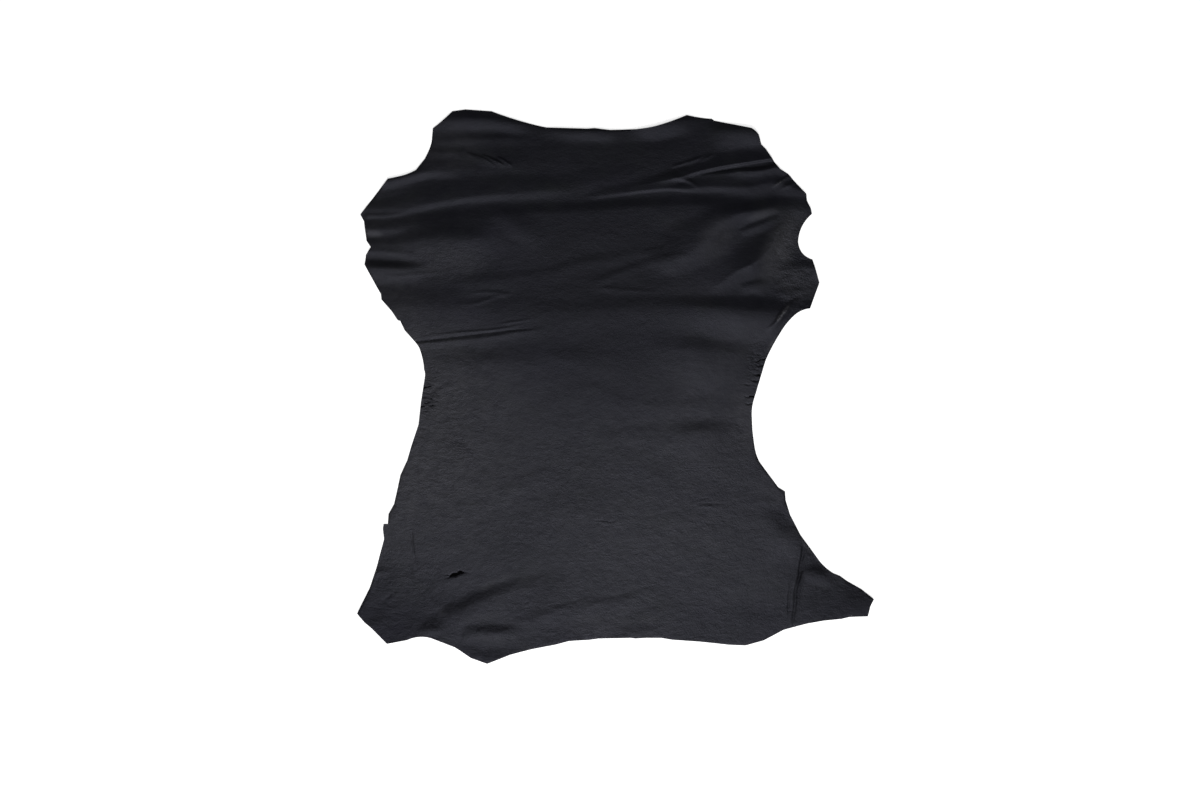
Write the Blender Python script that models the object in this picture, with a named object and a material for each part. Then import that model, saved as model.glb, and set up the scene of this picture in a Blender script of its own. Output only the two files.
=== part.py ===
"""A whole black leather hide, lying flat with its neck towards +Y.

Every size is in millimetres. The underside lies on z = 0 wherever no fold lifts it.
"""

from typing import NamedTuple

import bpy
import numpy as np
from mathutils.geometry import delaunay_2d_cdt

MM = 0.001

# The sheet.
THICKNESS = 1.2
LEATHER_COLOUR = (0.012, 0.012, 0.014, 1.0)
LEATHER_ROUGHNESS = 0.52

# The net of triangles that carries the folds.
EDGE_STEP_FOLDED = 11.0
EDGE_STEP_FLAT = 26.0
FOLDED_ABOVE_Y = 20.0
CLEAR_OF_EDGE = 0.42
NET_STRETCH = 3.0
ROW_STARTS = (0.75, 0.25)
INSIDE_ONLY = 1
SAME_POINT = 1e-6
SPINE_STEPS = 8


class EdgePoint(NamedTuple):
    """A point of the trimmed edge, and how far the cut bows outwards on the way to the next."""

    x: float
    y: float
    bow: float = 0.0


class Station(NamedTuple):
    """A place along a fold's crest: how high it stands and how far it falls on either side."""

    x: float
    y: float
    height: float
    above: float
    below: float


class Fold(NamedTuple):
    """A soft ridge. Its stations run from left to right; crisp is 0 for round, 1 for creased."""

    name: str
    crisp: float
    stations: tuple[Station, ...]


class Zone(NamedTuple):
    """A box of the sheet whose net has one spacing along the folds and one across them."""

    left: float
    right: float
    bottom: float
    top: float
    along: float
    across: float


# The trimmed edge, clockwise from the left of the neck.
NECK = (
    EdgePoint(-292, 413, -1),
    EdgePoint(-261, 440),
    EdgePoint(-240, 443),
    EdgePoint(-198, 440, -2),
    EdgePoint(-110, 414),
    EdgePoint(-45, 412),
    EdgePoint(-34, 413),
    EdgePoint(-9, 410),
    EdgePoint(26, 411, -1),
    EdgePoint(64, 416, -1),
    EdgePoint(114, 434, -1),
    EdgePoint(154, 428),
    EdgePoint(158, 425),
    EdgePoint(217, 413, 1),
)
RIGHT_SHOULDER = (
    EdgePoint(229, 402),
    EdgePoint(233, 387),
    EdgePoint(241, 379),
    EdgePoint(254, 359),
    EdgePoint(263, 348),
    EdgePoint(276, 340),
    EdgePoint(286, 328),
    EdgePoint(305, 308),
    EdgePoint(306, 297),
    EdgePoint(312, 285),
)
RIGHT_BITE = (
    EdgePoint(314, 276, -5.5),
    EdgePoint(292, 231, -6),
    EdgePoint(315, 203),
    EdgePoint(326, 166),
)
RIGHT_WAIST = (
    EdgePoint(311, 125, -2),
    EdgePoint(287, 115, -1.5),
    EdgePoint(264, 87, -1),
    EdgePoint(240, 42),
    EdgePoint(228, 2),
    EdgePoint(220, -25, -1),
    EdgePoint(218, -50, -1),
    EdgePoint(223, -100, -1),
    EdgePoint(231, -122),
    EdgePoint(260, -161),
)
RIGHT_LEG = (
    EdgePoint(271, -168),
    EdgePoint(272, -182),
    EdgePoint(279, -205),
    EdgePoint(296, -238),
    EdgePoint(326, -279, -1.5),
    EdgePoint(349, -299),
    EdgePoint(359, -303),
    EdgePoint(370, -311),
    EdgePoint(393, -324),
    EdgePoint(413, -340),
    EdgePoint(407, -351),
    EdgePoint(403, -367),
    EdgePoint(374, -368),
    EdgePoint(361, -371),
    EdgePoint(332, -374),
    EdgePoint(305, -379),
    EdgePoint(269, -389),
    EdgePoint(237, -406),
)
BUTT = (
    EdgePoint(208, -414),
    EdgePoint(182, -413),
    EdgePoint(135, -408),
    EdgePoint(91, -405),
    EdgePoint(73, -402),
    EdgePoint(49, -402),
    EdgePoint(32, -403),
    EdgePoint(25, -402),
    EdgePoint(-27, -403),
    EdgePoint(-41, -405),
    EdgePoint(-74, -407),
    EdgePoint(-97, -413),
    EdgePoint(-134, -420),
    EdgePoint(-169, -429),
)
LEFT_LEG = (
    EdgePoint(-205, -443),
    EdgePoint(-231, -434),
    EdgePoint(-257, -417),
    EdgePoint(-295, -402, -3.5),
    EdgePoint(-333, -405),
    EdgePoint(-365, -411),
    EdgePoint(-390, -386),
    EdgePoint(-401, -377),
    EdgePoint(-413, -363),
    EdgePoint(-393, -322),
    EdgePoint(-383, -293),
    EdgePoint(-370, -244),
    EdgePoint(-372, -228),
    EdgePoint(-371, -220),
    EdgePoint(-364, -220),
    EdgePoint(-363, -204),
    EdgePoint(-354, -188),
    EdgePoint(-348, -161),
    EdgePoint(-344, -142),
)
LEFT_WAIST = (
    EdgePoint(-333, -118),
    EdgePoint(-326, -94),
    EdgePoint(-315, -61),
    EdgePoint(-311, -25),
    EdgePoint(-305, 14, -1),
    EdgePoint(-306, 27, -1),
    EdgePoint(-312, 57, -1),
    EdgePoint(-320, 71),
    EdgePoint(-337, 90),
    EdgePoint(-344, 105),
    EdgePoint(-348, 106),
    EdgePoint(-358, 121),
)
LEFT_SHOULDER = (
    EdgePoint(-374, 139),
    EdgePoint(-375, 148),
    EdgePoint(-381, 158),
    EdgePoint(-401, 195),
    EdgePoint(-399, 210),
    EdgePoint(-391, 223),
    EdgePoint(-398, 233),
    EdgePoint(-402, 264),
    EdgePoint(-408, 275),
    EdgePoint(-364, 332),
    EdgePoint(-345, 336, -1),
    EdgePoint(-319, 346),
    EdgePoint(-305, 364, -1),
    EdgePoint(-294, 391),
)
OUTLINE = (
    NECK
    + RIGHT_SHOULDER
    + RIGHT_BITE
    + RIGHT_WAIST
    + RIGHT_LEG
    + BUTT
    + LEFT_LEG
    + LEFT_WAIST
    + LEFT_SHOULDER
)

FOLDS = (
    Fold("lifted left of the neck", 0.0, (
        Station(-292, 426, 1.6, 16, 24),
        Station(-250, 429, 3.1, 16, 24),
        Station(-205, 428, 3.4, 16, 24),
        Station(-165, 422, 2.4, 14, 22),
        Station(-120, 413, 0.0, 12, 20),
    )),
    Fold("lifted at the nape", 0.0, (
        Station(-128, 413, 0.0, 10, 18),
        Station(-92, 411, 1.8, 12, 22),
        Station(-45, 409, 2.5, 12, 22),
        Station(-8, 408, 1.8, 12, 22),
        Station(20, 408, 0.0, 10, 18),
    )),
    Fold("lifted right of the neck", 0.0, (
        Station(5, 409, 0.0, 14, 24),
        Station(30, 412, 2.0, 14, 24),
        Station(55, 418, 4.2, 16, 30),
        Station(95, 425, 3.4, 16, 30),
        Station(130, 424, 1.0, 16, 26),
        Station(155, 414, 0.0, 16, 24),
    )),
    Fold("lifted at the right shoulder", 0.0, (
        Station(146, 404, 0.0, 20, 30),
        Station(180, 409, 3.4, 22, 36),
        Station(215, 409, 4.4, 22, 34),
        Station(246, 399, 2.6, 20, 30),
    )),
    Fold("nape", 0.0, (
        Station(-376, 328, 2.6, 22, 18),
        Station(-345, 334, 2.7, 26, 17),
        Station(-305, 344, 2.7, 32, 16),
        Station(-265, 347, 1.6, 36, 18),
        Station(-225, 350, 0.8, 36, 20),
        Station(-145, 358, 0.4, 30, 20),
        Station(-60, 364, 0.0, 24, 20),
    )),
    Fold("cross ridge", 0.0, (
        Station(-414, 284, 1.5, 14, 17),
        Station(-345, 285, 1.7, 24, 15),
        Station(-305, 292, 1.7, 44, 13),
        Station(-265, 299, 1.6, 46, 12),
        Station(-225, 305, 1.6, 42, 13),
        Station(-185, 309, 1.6, 36, 15),
        Station(-145, 312, 1.3, 30, 16),
        Station(-105, 315, 1.0, 28, 18),
        Station(-65, 320, 0.7, 26, 20),
        Station(-25, 330, 0.4, 22, 18),
        Station(15, 340, 0.2, 18, 14),
        Station(50, 350, 0.0, 16, 12),
    )),
    Fold("ridge under the shoulder", 0.2, (
        Station(-48, 302, 0.0, 12, 8),
        Station(-24, 306, 0.6, 15, 7),
        Station(7, 309, 0.9, 16, 6),
        Station(39, 313, 1.1, 15, 5.5),
        Station(60, 315, 1.2, 13, 5.5),
        Station(87, 317, 1.2, 12, 5.5),
        Station(111, 316, 1.2, 15, 6.5),
        Station(140, 319, 1.3, 17, 11),
        Station(175, 320, 1.3, 18, 13),
        Station(215, 319, 1.3, 17, 16),
        Station(255, 326, 1.5, 14, 22),
        Station(312, 309, 1.4, 12, 18),
    )),
    Fold("rise below the trough", 0.0, (
        Station(-414, 250, 3.0, 16, 12),
        Station(-385, 251, 2.6, 20, 15),
        Station(-345, 254, 2.3, 22, 30),
        Station(-305, 257, 2.2, 23, 50),
        Station(-265, 259, 2.1, 25, 64),
        Station(-225, 264, 2.0, 25, 70),
        Station(-185, 270, 2.0, 23, 80),
        Station(-145, 273, 1.8, 22, 92),
        Station(-65, 277, 1.8, 21, 100),
        Station(15, 283, 1.8, 20, 100),
        Station(95, 287, 2.0, 21, 90),
        Station(135, 287, 2.4, 21, 56),
        Station(175, 283, 2.5, 22, 34),
        Station(215, 280, 2.4, 22, 28),
        Station(255, 284, 2.2, 22, 26),
        Station(318, 284, 1.8, 20, 24),
    )),
    Fold("slant below the trough", 0.0, (
        Station(-195, 280, 0.0, 16, 16),
        Station(-170, 264, 1.1, 26, 22),
        Station(-142, 245, 1.1, 30, 24),
        Station(-112, 224, 0.0, 24, 18),
    )),
    Fold("left shoulder", 0.0, (
        Station(-408, 226, 2.0, 14, 24),
        Station(-345, 227, 2.8, 20, 34),
        Station(-305, 231, 3.4, 30, 50),
        Station(-265, 232, 3.8, 34, 60),
        Station(-225, 234, 2.7, 34, 56),
        Station(-185, 238, 0.5, 30, 46),
        Station(-140, 242, 0.0, 26, 44),
    )),
    Fold("left elbow", 0.1, (
        Station(-408, 191, 3.6, 14, 26),
        Station(-375, 189, 3.6, 15, 28),
        Station(-345, 188, 2.9, 14, 28),
        Station(-318, 189, 1.6, 11, 26),
        Station(-295, 190, 0.0, 8, 22),
    )),
    Fold("breast line", 0.0, (
        Station(-270, 163, 0.0, 12, 20),
        Station(-225, 167, 0.5, 14, 26),
        Station(-185, 171, 0.5, 14, 26),
        Station(-105, 181, 0.35, 14, 24),
        Station(-65, 195, 0.35, 14, 20),
        Station(-25, 202, 0.35, 13, 20),
        Station(55, 215, 0.3, 13, 18),
        Station(90, 218, 0.0, 12, 18),
    )),
    Fold("chest", 0.0, (
        Station(-392, 129, 2.2, 38, 68),
        Station(-345, 124, 2.7, 44, 70),
        Station(-305, 122, 2.8, 46, 72),
        Station(-265, 122, 2.1, 42, 68),
        Station(-225, 122, 0.8, 34, 50),
        Station(-185, 120, 0.6, 30, 46),
        Station(-105, 118, 0.8, 26, 46),
        Station(-25, 121, 0.7, 24, 42),
        Station(55, 127, 0.9, 22, 42),
        Station(95, 126, 1.5, 22, 44),
        Station(135, 125, 2.7, 24, 46),
        Station(175, 122, 3.6, 26, 52),
        Station(215, 119, 4.0, 28, 56),
        Station(255, 118, 3.6, 28, 56),
        Station(316, 122, 2.4, 24, 36),
    )),
    Fold("left flank", 0.0, (
        Station(-300, 28, 0.0, 26, 60),
        Station(-265, 29, 1.0, 28, 80),
        Station(-225, 32, 1.7, 30, 90),
        Station(-185, 36, 1.6, 30, 90),
        Station(-145, 40, 1.3, 30, 80),
        Station(-105, 42, 0.9, 30, 60),
        Station(-25, 44, 0.7, 28, 50),
        Station(30, 46, 0.0, 26, 40),
    )),
    Fold("upper shoulder tuck", 0.8, (
        Station(20, 320, 0.0, 12, 12),
        Station(55, 325, 1.1, 13, 16),
        Station(87, 331, 1.8, 16, 13),
        Station(112, 337, 2.3, 19, 7.5),
        Station(132, 343, 2.6, 21, 4.4),
        Station(167, 351, 2.7, 24, 3.8),
        Station(199, 356, 3.0, 26, 3.8),
        Station(231, 361, 3.2, 27, 3.8),
        Station(264, 366, 3.2, 27, 3.8),
    )),
    Fold("lower shoulder tuck", 0.6, (
        Station(150, 337, 0.0, 6, 12),
        Station(175, 340, 1.0, 7, 18),
        Station(199, 344, 1.8, 8, 20),
        Station(231, 345, 2.3, 10, 20),
        Station(255, 350, 2.5, 10, 20),
        Station(275, 355, 2.4, 10, 20),
    )),
    Fold("hip swirl, left arm", 0.0, (
        Station(40, 194, 0.0, 34, 22),
        Station(71, 198, 1.2, 42, 26),
        Station(95, 205, 2.4, 50, 32),
        Station(135, 227, 4.4, 54, 35),
        Station(168, 258, 4.4, 36, 26),
        Station(202, 276, 3.4, 20, 19),
        Station(235, 284, 1.8, 16, 16),
        Station(262, 290, 0.0, 14, 16),
    )),
    Fold("hip swirl, right arm", 0.8, (
        Station(150, 150, 0.0, 24, 16),
        Station(175, 170, 1.8, 34, 22),
        Station(199, 186, 3.6, 40, 26),
        Station(221, 196, 4.8, 44, 25),
        Station(240, 210, 5.0, 46, 17),
        Station(254, 228, 4.6, 42, 16),
        Station(264, 252, 3.2, 28, 14),
        Station(282, 276, 0.0, 18, 20),
    )),
    Fold("right elbow", 0.0, (
        Station(252, 182, 0.0, 12, 24),
        Station(276, 186, 1.8, 13, 28),
        Station(300, 188, 2.4, 14, 28),
        Station(330, 190, 2.6, 14, 28),
    )),
    Fold("right flank, upper", 0.0, (
        Station(50, 58, 0.0, 22, 50),
        Station(92, 58, 0.6, 24, 62),
        Station(116, 57, 1.8, 26, 74),
        Station(140, 54, 2.3, 27, 78),
        Station(162, 51, 1.7, 26, 68),
        Station(190, 51, 0.8, 22, 50),
        Station(218, 55, 0.0, 16, 30),
    )),
    Fold("right flank, middle", 0.0, (
        Station(-110, -6, 0.0, 14, 26),
        Station(-65, -6, 0.3, 16, 30),
        Station(-25, -8, 0.3, 16, 30),
        Station(15, -28, 0.3, 16, 30),
        Station(95, -34, 0.5, 16, 30),
        Station(135, -30, 0.4, 16, 30),
        Station(170, -28, 0.0, 14, 26),
    )),
    Fold("right flank, lower", 0.0, (
        Station(-45, -78, 0.0, 14, 40),
        Station(-15, -80, 0.5, 15, 44),
        Station(55, -77, 0.5, 16, 44),
        Station(92, -76, 1.0, 20, 50),
        Station(116, -76, 2.2, 24, 62),
        Station(138, -75, 2.7, 25, 64),
        Station(156, -73, 1.9, 24, 58),
        Station(176, -70, 0.6, 18, 42),
        Station(200, -68, 0.0, 16, 36),
    )),
    Fold("hip hollow", 0.0, (
        Station(222, -202, 0.0, 18, 40),
        Station(248, -220, 1.0, 26, 46),
        Station(270, -240, 1.7, 28, 42),
        Station(296, -258, 1.4, 24, 36),
    )),
    Fold("butt, upper", 0.1, (
        Station(-292, -378, 0.0, 14, 36),
        Station(-277, -372, 1.8, 18, 42),
        Station(-258, -364, 3.6, 21, 50),
        Station(-222, -348, 3.9, 23, 64),
        Station(-185, -334, 3.3, 23, 72),
        Station(-145, -325, 2.6, 24, 70),
        Station(-105, -319, 1.7, 24, 64),
        Station(-58, -316, 0.0, 18, 50),
    )),
    Fold("butt, lower", 0.0, (
        Station(-248, -391, 0.0, 10, 22),
        Station(-224, -394, 3.2, 15, 28),
        Station(-180, -394, 3.6, 16, 28),
        Station(-146, -390, 0.0, 12, 22),
    )),
    Fold("butt tip", 0.0, (
        Station(-250, -420, 0.0, 16, 20),
        Station(-218, -436, 3.0, 24, 24),
        Station(-185, -438, 3.0, 24, 24),
        Station(-150, -428, 0.0, 18, 20),
    )),
    Fold("left leg, curled edge", 0.0, (
        Station(-424, -362, 2.5, 50, 30),
        Station(-367, -414, 4.8, 70, 30),
        Station(-313, -408, 4.2, 60, 30),
        Station(-268, -414, 1.2, 40, 30),
        Station(-250, -420, 0.0, 30, 30),
    )),
    Fold("right leg, curled edge", 0.0, (
        Station(270, -396, 0.0, 50, 30),
        Station(330, -378, 4.0, 60, 30),
        Station(403, -370, 5.0, 60, 30),
        Station(424, -368, 5.0, 60, 30),
    )),
)

ZONES = (
    Zone(-440, 440, 20, 460, along=27, across=7.5),
    Zone(-440, -80, -460, -290, along=24, across=11),
    Zone(250, 440, -400, -300, along=24, across=16),
    Zone(60, 210, -110, -50, along=28, across=10),
    Zone(-440, 440, -460, 20, along=42, across=34),
)


def clear_scene():
    """Empty the scene before anything is built."""
    for obj in list(bpy.data.objects):
        bpy.data.objects.remove(obj, do_unlink=True)


def edge_step(y):
    """The longest piece of edge allowed at this height of the sheet."""
    return EDGE_STEP_FOLDED if y > FOLDED_ABOVE_Y else EDGE_STEP_FLAT


def bowed(start, end):
    """The points from start up to, not including, end, along a shallow arc."""
    a = np.array((start.x, start.y))
    b = np.array((end.x, end.y))
    chord = b - a
    length = np.hypot(*chord)
    outward = np.array((-chord[1], chord[0])) / length
    pieces = int(np.ceil(length / edge_step(max(start.y, end.y))))
    steps = np.arange(pieces) / pieces
    return [a + chord * t + outward * start.bow * 4 * t * (1 - t) for t in steps]


def edge_line():
    """The whole trimmed edge as one closed clockwise line."""
    line = []
    for start, end in zip(OUTLINE, OUTLINE[1:] + OUTLINE[:1]):
        line += bowed(start, end)
    return np.array(line)


def nearest_on_line(points, line):
    """The distance from each point to a line, and the nearest segment and place on it."""
    best = np.full(len(points), np.inf)
    segment = np.zeros(len(points), int)
    along = np.zeros(len(points))
    for i in range(len(line) - 1):
        step = line[i + 1] - line[i]
        t = np.clip((points - line[i]) @ step / (step @ step), 0, 1)
        gap = np.linalg.norm(points - line[i] - t[:, None] * step, axis=1)
        closer = gap < best
        best[closer] = gap[closer]
        segment[closer] = i
        along[closer] = t[closer]
    return best, segment, along


def smooth_stations(stations):
    """The stations with more worked in between them, on a curve that passes through each."""
    rows = np.array(stations, float)
    rows = np.vstack((2 * rows[0] - rows[1], rows, 2 * rows[-1] - rows[-2]))
    t = np.arange(SPINE_STEPS)[:, None] / SPINE_STEPS
    found = []
    for p0, p1, p2, p3 in zip(rows, rows[1:], rows[2:], rows[3:]):
        bend = 2 * p0 - 5 * p1 + 4 * p2 - p3
        twist = -p0 + 3 * p1 - 3 * p2 + p3
        found.append(0.5 * (2 * p1 + (p2 - p0) * t + bend * t**2 + twist * t**3))
    found.append(rows[-2][None])
    return np.vstack(found)


def fold_height(points, fold):
    """How far one fold lifts each point."""
    rows = smooth_stations(fold.stations)
    line = rows[:, :2]
    gap, segment, along = nearest_on_line(points, line)
    here = rows[segment] + (rows[segment + 1] - rows[segment]) * along[:, None]
    step = line[segment + 1] - line[segment]
    away = points - here[:, :2]
    over = step[:, 0] * away[:, 1] - step[:, 1] * away[:, 0] > 0
    reach = np.where(over, here[:, 3], here[:, 4])
    u = np.clip(gap / reach, 0, 1)
    round_top = (1 - u) ** 2 * (1 + 2 * u)
    sharp_top = (1 - u) ** 2
    shape = (1 - fold.crisp) * round_top + fold.crisp * sharp_top
    return np.maximum(here[:, 2], 0) * shape


def sheet_height(points):
    """The height of the underside above the surface that the hide lies on."""
    return sum(fold_height(points, fold) for fold in FOLDS)


def inside(points, line):
    """True for the points within a closed line."""
    x = points[:, 0]
    y = points[:, 1]
    found = np.zeros(len(points), bool)
    for (x0, y0), (x1, y1) in zip(line, np.roll(line, -1, axis=0)):
        if y0 == y1:
            continue
        crosses = (y0 > y) != (y1 > y)
        found ^= crosses & (x < (x1 - x0) * (y - y0) / (y1 - y0) + x0)
    return found


def zone_points(zone):
    """The staggered rows of net points in one zone."""
    found = []
    for row, y in enumerate(np.arange(zone.bottom + zone.across / 2, zone.top, zone.across)):
        start = zone.left + zone.along * ROW_STARTS[row % 2]
        xs = np.arange(start, zone.right, zone.along)
        found.append(np.stack((xs, np.full(len(xs), y)), axis=1))
    return np.vstack(found)


def within(points, zone):
    """True for the points in a zone's box."""
    x, y = points.T
    return (x > zone.left) & (x < zone.right) & (y > zone.bottom) & (y < zone.top)


def net_points(line):
    """The points of the net inside the edge, each zone giving way to those before it."""
    closed = np.vstack((line, line[:1]))
    found = []
    for i, zone in enumerate(ZONES):
        points = zone_points(zone)
        for finer in ZONES[:i]:
            points = points[~within(points, finer)]
        points = points[inside(points, line)]
        gap = nearest_on_line(points, closed)[0]
        found.append(points[gap > CLEAR_OF_EDGE * zone.across])
    return np.vstack(found)


def net_of_triangles():
    """The flat net: its points, its triangles facing up, and its edge as a loop of points."""
    line = edge_line()
    points = np.vstack((line, net_points(line)))
    stretched = points * (1, NET_STRETCH)
    loop = [(i, (i + 1) % len(line)) for i in range(len(line))]
    made = delaunay_2d_cdt([tuple(p) for p in stretched], loop, [], INSIDE_ONLY, SAME_POINT)
    flat = np.array([(p.x, p.y / NET_STRETCH) for p in made[0]])
    triangles = np.array(made[2])
    a, b, c = (flat[triangles[:, i]] for i in range(3))
    ab = b - a
    ac = c - a
    turned = ab[:, 0] * ac[:, 1] - ab[:, 1] * ac[:, 0] < 0
    triangles[turned] = triangles[turned][:, ::-1]
    order = {old: new for new, olds in enumerate(made[3]) for old in olds}
    return flat, triangles, [order[i] for i in range(len(line))]


def leather():
    """Black, softly shining leather."""
    material = bpy.data.materials.new("black leather")
    material.use_nodes = True
    shader = material.node_tree.nodes["Principled BSDF"]
    shader.inputs["Base Color"].default_value = LEATHER_COLOUR
    shader.inputs["Roughness"].default_value = LEATHER_ROUGHNESS
    return material


def build_hide():
    """The hide: a top and an underside one thickness apart, closed round the trimmed edge."""
    flat, triangles, loop = net_of_triangles()
    count = len(flat)
    under = np.column_stack((flat, sheet_height(flat)))
    top = under + (0, 0, THICKNESS)
    faces = [tuple(row) for row in triangles]
    faces += [tuple(row + count) for row in triangles[:, ::-1]]
    for a, b in zip(loop, loop[1:] + loop[:1]):
        faces.append((a, b, b + count, a + count))
    mesh = bpy.data.meshes.new("hide")
    mesh.from_pydata((np.vstack((top, under)) * MM).tolist(), [], faces)
    mesh.materials.append(leather())
    hide = bpy.data.objects.new("hide", mesh)
    bpy.context.scene.collection.objects.link(hide)
    return hide


clear_scene()
build_hide()
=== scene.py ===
"""A whole black leather hide lying flat on a pale studio floor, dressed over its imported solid.

The hide's own sizes are in millimetres; those of the finishes and the studio are in metres.
"""

import logging
import math
from dataclasses import dataclass
from enum import Enum, IntEnum
from typing import NamedTuple, Sequence

import bpy
import numpy as np
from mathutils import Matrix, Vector, noise
from mathutils.geometry import delaunay_2d_cdt


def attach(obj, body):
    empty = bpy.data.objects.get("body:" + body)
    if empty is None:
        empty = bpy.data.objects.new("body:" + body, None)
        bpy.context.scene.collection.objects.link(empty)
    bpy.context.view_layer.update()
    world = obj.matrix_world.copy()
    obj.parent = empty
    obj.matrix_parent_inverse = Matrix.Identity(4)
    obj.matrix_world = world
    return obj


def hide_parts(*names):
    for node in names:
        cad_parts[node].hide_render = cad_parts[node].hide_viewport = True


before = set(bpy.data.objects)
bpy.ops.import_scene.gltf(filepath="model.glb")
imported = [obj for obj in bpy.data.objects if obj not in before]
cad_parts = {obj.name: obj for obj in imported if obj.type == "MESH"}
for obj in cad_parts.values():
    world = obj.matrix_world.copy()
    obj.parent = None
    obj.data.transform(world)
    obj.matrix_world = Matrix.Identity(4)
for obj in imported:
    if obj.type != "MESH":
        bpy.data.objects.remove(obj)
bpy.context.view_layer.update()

MM = 0.001
WITHIN_EDGE = 1  # the kind of net that keeps only the triangles inside its edge
LOG = logging.getLogger("hide")

Rows = Sequence[Sequence[float]]
Pair = tuple[float, float]
Triple = tuple[float, float, float]
Colour = tuple[float, float, float, float]
Socket = bpy.types.NodeSocket


class Face(IntEnum):
    """The material slots of the hide."""

    GRAIN = 0
    FLESH = 1
    EDGE = 2
    # Bare fibres in the gash, with its blackest pits as painted shade.
    TORN_AND_SHADE = 3


class Mark(Enum):
    """What a patch of the skin does to its surface; the values name the mesh's attributes."""

    LOOSE = "loose_grain"
    BUMPY = "bumpy"
    COARSE = "coarser_grain"
    MATT = "matt"
    # Paler dye, together with painted sheen and painted highlights on slopes facing the light.
    PALE_AND_SHEEN = "paler_dye_and_painted_sheen"
    # Deeper dye, together with painted shade.
    DEEP_AND_SHADE = "deeper_dye_and_painted_shade"
    # The gash and cracks, and painted shade at the bottoms of tight creases.
    TORN_AND_SHADE = "torn_and_shade"
    # Wear along edges, together with painted highlights on fold crests.
    WORN_AND_HIGHLIGHT = "worn_and_highlight"


class EdgePoint(NamedTuple):
    """A point of the trimmed edge, and how far the cut bows outwards on the way to the next."""

    x: float
    y: float
    bow: float = 0.0


class Station(NamedTuple):
    """A place along a fold's crest: how high it stands and how far it falls on either side."""

    x: float
    y: float
    height: float
    above: float
    below: float


class Fold(NamedTuple):
    """A soft ridge. Its stations run from left to right; crisp is 0 for round, 1 for creased."""

    name: str
    crisp: float
    stations: tuple[Station, ...]


class Cut(NamedTuple):
    """A place along a scratch or gash in the grain: how deep it goes and half its width."""

    x: float
    y: float
    depth: float
    half_width: float


class Patch(NamedTuple):
    """A soft oval on the skin, turned anticlockwise by some degrees."""

    x: float
    y: float
    half_length: float
    half_width: float
    turn: float
    strength: float


class Zone(NamedTuple):
    """A box of the sheet whose net has one spacing along the folds and one across them."""

    left: float
    right: float
    bottom: float
    top: float
    along: float
    across: float


class Swell(NamedTuple):
    """Bumps of the grain: their size and seed, their height everywhere, and more where marked."""

    along: float
    across: float
    seed: float
    height: float
    mark: Mark
    more: float


class Furrow(NamedTuple):
    """Furrows in loose grain: their size and seed, the share that their walls take, the depth."""

    along: float
    across: float
    seed: float
    wall: float
    depth: float


def edge(*rows: Sequence[float]) -> tuple[EdgePoint, ...]:
    """Return a run of the trimmed edge, from each point's x, y and bow."""
    return tuple(EdgePoint(*row) for row in rows)


def ridge(name: str, crisp: float, rows: Rows) -> Fold:
    """Return a fold, from each station's x, y, height, and reach above and below."""
    return Fold(name, crisp, tuple(Station(*row) for row in rows))


def slits(*lines: Rows) -> tuple[tuple[Cut, ...], ...]:
    """Return scratches or gashes, from the x, y, depth and half width along each."""
    return tuple(tuple(Cut(*row) for row in line) for line in lines)


def ovals(*rows: Sequence[float]) -> tuple[Patch, ...]:
    """Return patches, from each one's x, y, half length, half width, turn and strength."""
    return tuple(Patch(*row) for row in rows)


# The trimmed edge, clockwise from the left of the neck.
NECK = edge(
    (-292, 413, -1), (-261, 440), (-240, 443), (-198, 440, -2), (-110, 414), (-45, 412),
    (-34, 413), (-9, 410), (26, 411, -1), (64, 416, -1), (114, 434, -1), (154, 428), (158, 425),
    (217, 413, 1),
)
RIGHT_SHOULDER = edge(
    (229, 402), (233, 387), (241, 379), (254, 359), (263, 348), (276, 340), (286, 328),
    (305, 308), (306, 297), (312, 285),
)
RIGHT_BITE = edge(
    (314, 276, -5.5), (292, 231, -6), (315, 203), (326, 166),
)
RIGHT_WAIST = edge(
    (311, 125, -2), (287, 115, -1.5), (264, 87, -1), (240, 42), (228, 2), (220, -25, -1),
    (218, -50, -1), (223, -100, -1), (231, -122), (260, -161),
)
RIGHT_LEG = edge(
    (271, -168), (272, -182), (279, -205), (296, -238), (326, -279, -1.5), (349, -299),
    (359, -303), (370, -311), (393, -324), (413, -340), (407, -351), (403, -367), (374, -368),
    (361, -371), (332, -374), (305, -379), (269, -389), (237, -406),
)
BUTT = edge(
    (208, -414), (182, -413), (135, -408), (91, -405), (73, -402), (49, -402), (32, -403),
    (25, -402), (-27, -403), (-41, -405), (-74, -407), (-97, -413), (-134, -420), (-169, -429),
)
LEFT_LEG = edge(
    (-205, -443), (-231, -434), (-257, -417), (-295, -402, -3.5), (-333, -405), (-365, -411),
    (-390, -386), (-401, -377), (-413, -363), (-393, -322), (-383, -293), (-370, -244),
    (-372, -228), (-371, -220), (-364, -220), (-363, -204), (-354, -188), (-348, -161),
    (-344, -142),
)
LEFT_WAIST = edge(
    (-333, -118), (-326, -94), (-315, -61), (-311, -25), (-305, 14, -1), (-306, 27, -1),
    (-312, 57, -1), (-320, 71), (-337, 90), (-344, 105), (-348, 106), (-358, 121),
)
LEFT_SHOULDER = edge(
    (-374, 139), (-375, 148), (-381, 158), (-401, 195), (-399, 210), (-391, 223), (-398, 233),
    (-402, 264), (-408, 275), (-364, 332), (-345, 336, -1), (-319, 346), (-305, 364, -1),
    (-294, 391),
)
OUTLINE = (
    NECK + RIGHT_SHOULDER + RIGHT_BITE + RIGHT_WAIST + RIGHT_LEG
    + BUTT + LEFT_LEG + LEFT_WAIST + LEFT_SHOULDER
)

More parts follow.
